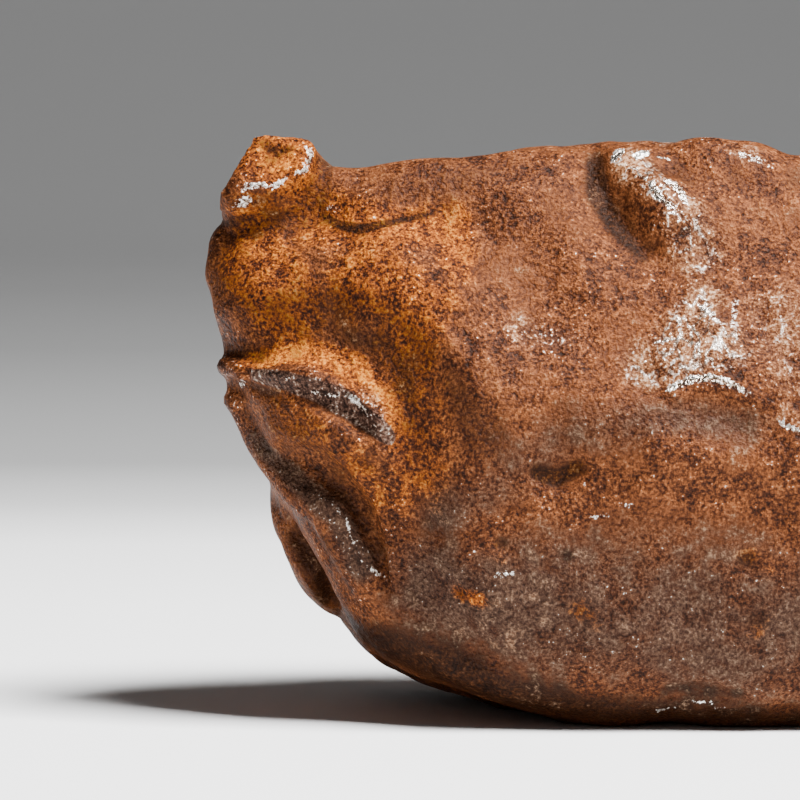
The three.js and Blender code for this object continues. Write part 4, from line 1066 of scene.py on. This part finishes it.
@dataclass(frozen=True)
class RustedIron:
    """Natural rust on nickel iron.

    Weather grows it in layers: a hard red-brown skin, ochre powder in the sheltered parts, and a
    grey-brown scale where it is handled or washed. Painted light is laid over it too: the grey also
    paints shade and a reflection of the floor on the lower front, the dark cover, dark rust in part,
    and the hollows paint shade in creases, grooves, cracks and under overhangs, and the rubbed cover
    paints a sheen where light falls. It gives the eye a fine grain of warm and dark specks, a low
    sheen from the skin, and cold white glints where an edge is rubbed to metal. Rust grain is 0.1 to
    0.2 mm across, and is drawn at the coarse end of that, so that it shows.
    """

    # Colours for the values of the mottle: of the skin, of metal, and of what lies over the skin, rust
    # with painted shade and painted sheen in some covers
    skin: Stops = ((0.26, "1d0d06"), (0.38, "371a0c"), (0.50, "532d17"), (0.62, "794525"),
                   (0.76, "a5683e"))
    metal: Stops = ((0.32, "4a3220"), (0.44, "8a7868"), (0.56, "d2c9be"), (0.68, "f4f0ea"))
    covers: tuple[Cover, ...] = (
        # grey-brown scale, and on the lower front painted shade and a painted reflection of the floor
        Cover(Tone.GREY, ((0.26, "1c110b"), (0.38, "2a1a12"), (0.50, "3b271d"), (0.62, "4f392b"),
                          (0.76, "685142")), 0.2, 0.8),
        Cover(Tone.OCHRE, ((0.28, "180905"), (0.39, "3b1a0b"), (0.50, "6a3511"), (0.61, "995016"),
                           (0.74, "cb8027")), 0.2, 0.75),
        # dark rust, and painted shade in creases, grooves, cracks, under overhangs and along the floor
        Cover(Tone.DARK, ((0.0, "0d0603"),), 0.1, 1.0, ragged_share=1.4, most=0.82),
        # rubbed rust, and a painted sheen where light falls
        Cover(Tone.WORN, ((0.26, "24120a"), (0.38, "4a2915"), (0.50, "73492f"), (0.62, "9f7352"),
                          (0.76, "cfae90")), 0.15, 1.0),
        Cover(Tone.BROKEN, ((0.30, "140b07"), (0.44, "33211a"), (0.57, "543c30"),
                            (0.69, "826d5f"), (0.80, "c2b6aa")), 0.30, 0.45, ragged_share=0.3,
              change="LINEAR"),
    )

    # Noises: drifts of tone, patches of scale and grains. The rows are size in mm, detail, gain,
    # share in the mottle and share in the ragged borders, which lie about nought
    noises: tuple[Row, ...] = ((3.5, 2.0, 2.0, 0.16, 0.5), (0.9, 3.0, 1.9, 0.34, 0.5),
                               (0.20, 2.0, 2.0, 0.50, 0.3))
    noise_roughness: float = 0.65
    ragged_from: float = -0.65

    # Ochre is paler where its mark is stronger, and the skin is calmer where the drift is high
    ochre_lift: float = 0.12
    ochre_drop: float = 0.09
    calm_range: tuple[float, float] = (0.45, 0.95)
    calm_most: float = 0.65
    calm_tone: float = 0.53

    # Hollows of the relief are darkened too, by this share: painted shade in creases and pits
    hollow_shade_share: float = 0.58

    # Metal: lines along marked edges, flecks on crests, and wrinkles in the rubbed parts
    line_grain: float = 0.9
    line_range: tuple[float, float] = (1.28, 1.42)
    fleck_patch: float = 0.4
    fleck_edge: float = 0.08
    fleck_worn: float = 0.2
    fleck_dark: float = -0.5
    fleck_range: tuple[float, float] = (1.12, 1.3)
    wrinkle_mm: float = 1.1
    wrinkle_lean: float = 0.6
    wrinkle_stretch: float = 0.4
    wrinkle_width: float = 0.035
    wrinkle_range: tuple[float, float] = (0.9, 1.3)

    # Gloss: rust hardly mirrors, ochre is dullest, and rubbed parts and metal are smoother
    mirror: float = 0.06
    roughness: float = 0.42
    patch_roughness: float = 0.2
    ochre_roughness: float = 0.2
    worn_roughness: float = -0.15
    metal_roughness: float = -0.2
    broken_metal: float = 0.4

    # Heights in mm of the patches and grains
    patch_height_mm: float = 0.16
    grain_height_mm: float = 0.065

    def material(self) -> bpy.types.Material:
        """Build the node tree, from the Object coordinates and the mesh's finish attributes.

        Returns:
            The material.
        """
        made = bpy.data.materials.new("rusted_nickel_iron")
        made.use_nodes = True
        tree = made.node_tree
        shader = tree.nodes["Principled BSDF"]
        shader.inputs["Specular IOR Level"].default_value = self.mirror
        where = add(tree, "TexCoord", {}, "Object")
        mark = {name: add(tree, "Attribute", {}, "Fac", attribute_name=name)
                for name in (*(tone.value for tone in Tone), "edge", "hollow")}

        # The noises, each spread out about one half; the mottle and the ragged borders from them
        spread, mottle, ragged = [], 0.0, self.ragged_from
        for size, detail, gain, share, ragged_share in self.noises:
            noise = add(tree, "TexNoise", {"Vector": where, "Scale": 1 / (size * MM),
                                           "Detail": detail, "Roughness": self.noise_roughness})
            noise = add(tree, "Math", {0: noise, 1: gain, 2: 0.5 - gain / 2},
                        operation="MULTIPLY_ADD")
            mottle = add(tree, "Math", {0: noise, 1: share, 2: mottle}, operation="MULTIPLY_ADD")
            ragged = add(tree, "Math", {0: noise, 1: ragged_share, 2: ragged},
                         operation="MULTIPLY_ADD")
            spread.append(noise)
        drift, patch, grain = spread

        # The skin, with calm patches in it
        calm = add(tree, "MapRange", {"Value": drift, "From Min": self.calm_range[0],
                                      "From Max": self.calm_range[1], "To Max": self.calm_most})
        calmed = add(tree, "Mix", {0: calm, 2: mottle, 3: self.calm_tone}, 0, data_type="FLOAT")
        colour = add(tree, "ValToRGB", {0: calmed}, stops=self.skin)

        # What grows over it, in order, each with its own colours for the mottle
        lifted = add(tree, "Math", {0: mark["ochre"], 1: self.ochre_lift, 2: mottle},
                     operation="MULTIPLY_ADD")
        lifted = add(tree, "Math", {0: lifted, 1: self.ochre_drop}, operation="SUBTRACT")
        # Painted shade: the hollows of the relief by their share, and the dark marks, darken the colour
        sunk = add(tree, "Math", {0: mark["hollow"], 1: self.hollow_shade_share}, operation="MULTIPLY")
        sunk = add(tree, "Math", {0: sunk, 1: mark["dark"]}, operation="MAXIMUM")
        tints = {Tone.OCHRE: lifted}
        strengths = {Tone.DARK: sunk}
        shares = {}
        for cover in self.covers:
            strength = strengths.get(cover.tone, mark[cover.tone.value])
            share = add(tree, "Math", {0: ragged, 1: cover.ragged_share, 2: strength},
                        operation="MULTIPLY_ADD")
            share = add(tree, "MapRange", {"Value": share, "From Min": cover.low,
                                           "From Max": cover.high, "To Max": cover.most},
                        interpolation_type=cover.change)
            other = linear(cover.stops[0][1])
            if len(cover.stops) > 1:
                tint = tints.get(cover.tone, mottle)
                other = add(tree, "ValToRGB", {0: tint}, stops=cover.stops)
            colour = add(tree, "Mix", {0: share, 6: colour, 7: other}, 2, data_type="RGBA")
            shares[cover.tone] = share

        metal = self.bare(tree, mark | {"where": where, "mottle": mottle, "patch": patch,
                                        "grain": grain, "deep": shares[Tone.DARK]})
        bright = add(tree, "ValToRGB", {0: mottle}, stops=self.metal)
        colour = add(tree, "Mix", {0: metal, 6: colour, 7: bright}, 2, data_type="RGBA")
        tree.links.new(colour, shader.inputs["Base Color"])
        shine = add(tree, "Math", {0: shares[Tone.BROKEN], 1: self.broken_metal},
                    operation="MULTIPLY")
        shine = add(tree, "Math", {0: shine, 1: metal}, operation="MAXIMUM")
        tree.links.new(shine, shader.inputs["Metallic"])
        dull = self.roughness
        for what, share in ((patch, self.patch_roughness), (mark["ochre"], self.ochre_roughness),
                            (mark["worn"], self.worn_roughness), (shine, self.metal_roughness)):
            dull = add(tree, "Math", {0: what, 1: share, 2: dull}, operation="MULTIPLY_ADD")
        tree.links.new(dull, shader.inputs["Roughness"])

        # Height in mm, of patches of scale with grains on them
        height = add(tree, "Math", {0: grain, 1: self.grain_height_mm}, operation="MULTIPLY")
        height = add(tree, "Math", {0: patch, 1: self.patch_height_mm, 2: height},
                     operation="MULTIPLY_ADD")
        bump = add(tree, "Bump", {"Height": height, "Distance": MM})
        tree.links.new(bump, shader.inputs["Normal"])
        return made

    def bare(self, tree: bpy.types.NodeTree,
             found: dict[str, bpy.types.NodeSocket]) -> bpy.types.NodeSocket:
        """How far metal shows: the most of its lines, its flecks and its wrinkles.

        A line is the marked edge broken up by the mottle. A fleck is where grains, patches, crests
        and rubbing add up. A wrinkle is where a stretched noise crosses one half.

        Args:
            tree: the node tree.
            found: by name, the finish attributes, the Object coordinates (where), the mottle,
                its patches and grains, and the share of the dark cover, dark rust and painted shade
                (deep).

        Returns:
            The share of metal.
        """
        line = add(tree, "Math", {0: found["mottle"], 1: self.line_grain, 2: found["bare"]},
                   operation="MULTIPLY_ADD")
        line = add(tree, "MapRange", {"Value": line, "From Min": self.line_range[0],
                                      "From Max": self.line_range[1]})
        fleck = found["grain"]
        for name, share in (("patch", self.fleck_patch), ("edge", self.fleck_edge),
                            ("worn", self.fleck_worn), ("deep", self.fleck_dark)):
            fleck = add(tree, "Math", {0: found[name], 1: share, 2: fleck},
                        operation="MULTIPLY_ADD")
        fleck = add(tree, "MapRange", {"Value": fleck, "From Min": self.fleck_range[0],
                                       "From Max": self.fleck_range[1]})
        drawn = add(tree, "Mapping", {0: found["where"], "Rotation": (0.0, self.wrinkle_lean, 0.0),
                                      "Scale": (1.0, 1.0, self.wrinkle_stretch)})
        ripple = add(tree, "TexNoise", {"Vector": drawn, "Scale": 1 / (self.wrinkle_mm * MM)})
        ripple = add(tree, "Math", {0: ripple, 1: 0.5}, operation="SUBTRACT")
        ripple = add(tree, "Math", {0: ripple}, operation="ABSOLUTE")
        ripple = add(tree, "MapRange", {"Value": ripple, "From Max": self.wrinkle_width,
                                        "To Min": 1.0, "To Max": 0.0})
        rubbed = add(tree, "Math", {0: found["worn"], 1: found["mottle"]}, operation="ADD")
        rubbed = add(tree, "MapRange", {"Value": rubbed, "From Min": self.wrinkle_range[0],
                                        "From Max": self.wrinkle_range[1]})
        ripple = add(tree, "Math", {0: ripple, 1: rubbed}, operation="MULTIPLY")
        most = add(tree, "Math", {0: line, 1: fleck}, operation="MAXIMUM")
        return add(tree, "Math", {0: most, 1: ripple}, operation="MAXIMUM")


@dataclass
class Meteorite:
    """The lump itself, one closed mesh that stands for the CAD solid. Sizes are in mm."""

    divisions: tuple[int, int, int] = (188, 90, 118)
    core_half: float = 12.0
    core_height: float = 17.0
    skew: Vec = (-0.12, -0.12, 0.0)
    shortest_step: float = 0.06
    longest_step: float = 3.0
    halvings: int = 7
    coarse_rounds: int = 30
    fine_rounds: int = 7
    slope_every: int = 3
    pull_only: int = 2
    settling_slope: float = 0.04
    least_slope: float = 0.5
    no_slope: float = 1e-6
    slide_share: float = 0.7
    longest_pull: float = 0.35
    front_crowding: float = 0.5
    front_y: float = -3.0
    left_crowding: float = 2.0
    left_middle: Vec = (-22.0, -6.0, 22.0)
    left_reach: Vec = (9.0, 8.0, 14.0)
    relief_rounds: int = 24
    crest_height: float = 0.08
    hollow_depth: float = 0.10
    flat_below: float = 0.08

    def __post_init__(self) -> None:
        """Lay the forms on the body in order."""
        formed = Surface()
        formed.add_forms(BROAD, Surface())
        formed.layers += [block_layer(block) for block in BLOCKS]
        before_sharp = formed.so_far()
        formed.layers.append(block_layer(LID))
        formed.add_forms(SHARP, before_sharp)
        formed.layers += [bead_layer(np.array(bead.line), bead.blend) for bead in BEADS]
        self.natural = NaturalSurface(layers=formed.layers)

    def cast(self, ways: np.ndarray) -> np.ndarray:
        """The outermost points of the surface along lines from the core.

        A line for the direction d starts at (half dx, 0, height) of the core. It is walked from
        outside inwards by a share of the distance left, and the last step is halved.

        Args:
            ways: unit directions.

        Returns:
            Rows of x, y, z in mm.
        """
        start = np.zeros_like(ways)
        start[:, 0] = ways[:, 0] * self.core_half
        start[:, 2] = self.core_height
        out = np.full(len(ways), self.natural.outside)
        inside, t = np.zeros(len(ways)), out.copy()
        live = np.arange(len(ways))
        while len(live):
            found = self.natural.distance(start[live] + ways[live] * t[live, None])
            hit = found < 0
            inside[live[hit]] = t[live[hit]]
            live, found = live[~hit], found[~hit]
            out[live] = t[live]
            step = found * self.natural.step_share
            t[live] -= np.clip(step, self.shortest_step, self.longest_step)
        for _ in range(self.halvings):
            middle = (out + inside) / 2
            within = self.natural.distance(start + ways * middle[:, None]) < 0
            inside = np.where(within, middle, inside)
            out = np.where(within, out, middle)
        return start + ways * ((out + inside) / 2)[:, None]

    def crowding(self, points: np.ndarray) -> np.ndarray:
        """How closely points crowd: 1 + f / (1 + exp(y - front y)) + l exp(-r^2).

        Here f and l are the crowding of the front and of the left end, and r is the distance from
        the left end's middle as a share of its reach.

        Args:
            points: rows of x, y, z in mm.

        Returns:
            One weight for each point.
        """
        reach = (points - np.array(self.left_middle)) / np.array(self.left_reach)
        front = self.front_crowding / (1 + np.exp(points[:, 1] - self.front_y))
        return 1.0 + front + self.left_crowding * np.exp(-(reach**2).sum(1))

    def settle(self, lattice: Lattice, points: np.ndarray, rounds: int) -> np.ndarray:
        """Slide points along the surface to even spacing, and pull each back onto it.

        A round moves a point a share of the way to its neighbours' weighted mean, less the part
        along the slope, then by distance / slope against the slope. The last rounds only pull.

        Args:
            lattice: the lattice that joins the points.
            points: rows of x, y, z in mm.
            rounds: how many rounds.

        Returns:
            The settled points.
        """
        for number in range(rounds):
            last = number >= rounds - self.pull_only
            found = self.natural.distance(points)
            if number % self.slope_every == 0 or last:
                slope = np.stack([self.natural.distance(points + step) - found
                                  for step in np.eye(3) * self.settling_slope], 1)
                slope /= self.settling_slope
                size = np.linalg.norm(slope, axis=1)
                out = slope / np.maximum(size, self.no_slope)[:, None]
            pull = found / np.maximum(size, self.least_slope)
            pull = np.clip(pull, -self.longest_pull, self.longest_pull)
            if not last:
                move = lattice.neighbour_mean(points, self.crowding(points)) - points
                move -= (move * out).sum(1, keepdims=True) * out
                points = points + self.slide_share * move
            points = points - out * pull[:, None]
        return points

    def surface(self, divisions: tuple[int, int, int]) -> tuple[Lattice, np.ndarray]:
        """Settle a half as fine lattice on the surface, then the fine one from its points.

        Args:
            divisions: the fine lattice's divisions along x, y and z.

        Returns:
            The fine lattice, and its points in mm.
        """
        half = Lattice(tuple(d // 2 for d in divisions))
        points = self.settle(half, self.cast(half.ways_out(self.skew)), self.coarse_rounds)
        fine = Lattice(tuple(2 * d for d in half.divisions))
        return fine, self.settle(fine, fine.from_coarser(half, points), self.fine_rounds)

    def relief(self, lattice: Lattice, points: np.ndarray, facing: np.ndarray) -> np.ndarray:
        """How far each point stands out of the surface smoothed round it, in mm.

        The same height, smoothed three times as long, is taken off, so that the lump's own broad
        roundness doesn't count. A round of smoothing goes half way to the neighbours' mean.

        Args:
            lattice: the lattice that joins the points.
            points: rows of x, y, z in mm.
            facing: the unit normal at each point.

        Returns:
            One height for each point, negative in hollows.
        """
        smooth, even = points, np.ones(len(points))
        for _ in range(self.relief_rounds):
            smooth = 0.5 * smooth + 0.5 * lattice.neighbour_mean(smooth, even)
        height = ((points - smooth) * facing).sum(1)
        broad = height[:, None]
        for _ in range(3 * self.relief_rounds):
            broad = 0.5 * broad + 0.5 * lattice.neighbour_mean(broad, even)
        return height - broad[:, 0]

    def finishes(self, lattice: Lattice, points: np.ndarray) -> dict[str, np.ndarray]:
        """The strength of every finish at each point.

        Args:
            lattice: the lattice that joins the points.
            points: rows of x, y, z in mm.

        Returns:
            An array for each attribute's name: the tones of the marks, edge and hollow.
        """
        found = {tone.value: np.zeros(len(points)) for tone in Tone}
        marks = [mark.filled_in() for mark in MARKS]
        for mark, line in zip(marks, self.natural.laid(marks)):
            strength = soft_height(points, line)
            found[mark.tone.value] = np.maximum(found[mark.tone.value], strength)
        relief = self.relief(lattice, points, self.natural.facing(points))
        found["edge"] = np.clip(relief / self.crest_height, 0, 1)
        # How hollow each point is; the material darkens hollows by it, as painted shade
        found["hollow"] = np.clip(-relief / self.hollow_depth, 0, 1)
        return found

    def build(self) -> bpy.types.Object:
        """Make the mesh in the CAD solid's box, with its attributes and its finish.

        Returns:
            The object, which rides on the root body and stands for the CAD node.
        """
        divisions = self.divisions
        lattice, points = self.surface(divisions)
        finishes = self.finishes(lattice, points)
        low, high = (np.array(corner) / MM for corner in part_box("meteorite"))
        size = points.max(0) - points.min(0)
        points = (points - points.min(0)) * (high - low) / size + low
        points[points[:, 2] < self.flat_below, 2] = 0.0

        lump = smooth_piece("meteorite_surface", points * MM, lattice.patches,
                            RustedIron().material())
        for name, strength in finishes.items():
            attribute = lump.data.attributes.new(name, "FLOAT", "POINT")
            attribute.data.foreach_set("value", strength.astype(np.float32))
        lump.data.update()
        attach(lump, "root")
        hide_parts("meteorite")
        LOG.info("%s: %d patches, %s mm", lump.name, len(lattice.patches), np.round(high - low, 2))
        return lump


@dataclass
class Studio:
    """A pale paper sweep, a soft light overhead, and a dim grey room. Sizes are in metres."""

    half_width: float = 2.4
    front: float = -1.8
    flat_to: float = 0.8
    cove_radius: float = 0.4
    cove_steps: int = 17
    wall_height: float = 1.3
    floor_drop: float = 0.00002
    # painted light on the paper: near white in front and round the lump, grey behind, paler at the cove
    paper_painted_falloff: Stops = ((0.06, "f8f8f8"), (0.11, "ebebeb"), (0.15, "b9b9b9"), (0.20, "949494"),
                          (0.42, "989898"), (0.63, "b0b0b0"), (0.80, "c8c8c8"), (1.0, "b8b8b8"))
    paper_roughness: float = 0.7
    paper_mirror: float = 0.2
    key_place: Vec = (0.19, -0.125, 0.44)
    key_aim: Vec = (0.0, 0.0, 0.015)
    key_size: float = 0.2
    key_power: float = 12.5
    room: str = "484848"

    def sweep(self) -> bpy.types.Object:
        """The floor, which curves up behind in a quarter circle and ends in a straight wall.

        Returns:
            The sweep, a strip whose profile along y is carried along x.
        """
        turn = np.linspace(0, np.pi / 2, self.cove_steps)
        y = np.concatenate([[self.front], self.flat_to + self.cove_radius * np.sin(turn),
                            [self.flat_to + self.cove_radius]])
        z = np.concatenate([[0.0], self.cove_radius * (1 - np.cos(turn)), [self.wall_height]])
        x = np.array([-self.half_width, self.half_width])
        points = np.stack([np.tile(x, len(y)), np.repeat(y, 2), np.repeat(z, 2) - self.floor_drop], 1)
        row = np.arange(len(y) - 1)[:, None] * 2
        sweep = smooth_piece("paper_sweep", points, row + np.array([0, 1, 3, 2]), self.paper())
        return sweep

    def paper(self) -> bpy.types.Material:
        """Matt paper board with painted light: near white in front and round the lump, fading to grey
        behind as painted shade.

        Returns:
            The material, whose grey goes by the distance along y in metres.
        """
        made = bpy.data.materials.new("matt_paper_board")
        made.use_nodes = True
        tree = made.node_tree
        shader = tree.nodes["Principled BSDF"]
        shader.inputs["Roughness"].default_value = self.paper_roughness
        shader.inputs["Specular IOR Level"].default_value = self.paper_mirror
        where = add(tree, "TexCoord", {}, "Object")
        behind = add(tree, "SeparateXYZ", {0: where}, "Y")
        tone = add(tree, "ValToRGB", {0: behind}, stops=self.paper_painted_falloff)
        tree.links.new(tone, shader.inputs["Base Color"])
        return made

    def lights(self) -> None:
        """One square light overhead, turned to the lump, and an even grey room."""
        lamp = bpy.data.lights.new("soft_box", "AREA")
        lamp.size, lamp.energy = self.key_size, self.key_power
        key = placed("soft_box", lamp)
        key.location = self.key_place
        aim = Vector(self.key_aim) - Vector(self.key_place)
        key.rotation_euler = aim.to_track_quat("-Z", "Y").to_euler()
        world = bpy.data.worlds.new("room")
        world.use_nodes = True
        world.node_tree.nodes["Background"].inputs["Color"].default_value = linear(self.room)
        bpy.context.scene.world = world

    def build(self) -> None:
        """Set up the sweep and the lights."""
        LOG.info("%s", self.sweep().name)
        self.lights()


@dataclass
class Viewpoint:
    """The camera of the photograph: low in front of the left end, looking slightly down.

    The pitch is in degrees, the distance and the frame's width at the aim are in metres, and the
    sensor's width is in mm.
    """

    aim_mm: Vec = (-16.03, -3.56, 18.65)
    pitch: float = 3.5
    distance: float = 0.30
    frame_width: float = 0.04706
    sensor: float = 36.0

    def build(self) -> None:
        """Create the camera and make it the scene's."""
        pitch = math.radians(self.pitch)
        back = Vector((0.0, -math.cos(pitch), math.sin(pitch)))
        data = bpy.data.cameras.new("camera")
        data.sensor_width = self.sensor
        data.lens = self.sensor * self.distance / self.frame_width
        camera = placed("camera", data)
        camera.location = Vector(self.aim_mm) * MM + back * self.distance
        camera.rotation_euler = (-back).to_track_quat("-Z", "Y").to_euler()
        bpy.context.scene.camera = camera


def main() -> None:
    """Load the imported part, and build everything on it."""
    logging.basicConfig(level=logging.INFO, format="%(name)s: %(message)s")
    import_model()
    Viewpoint().build()
    Meteorite().build()
    Studio().build()


if __name__ == "__main__":
    main()
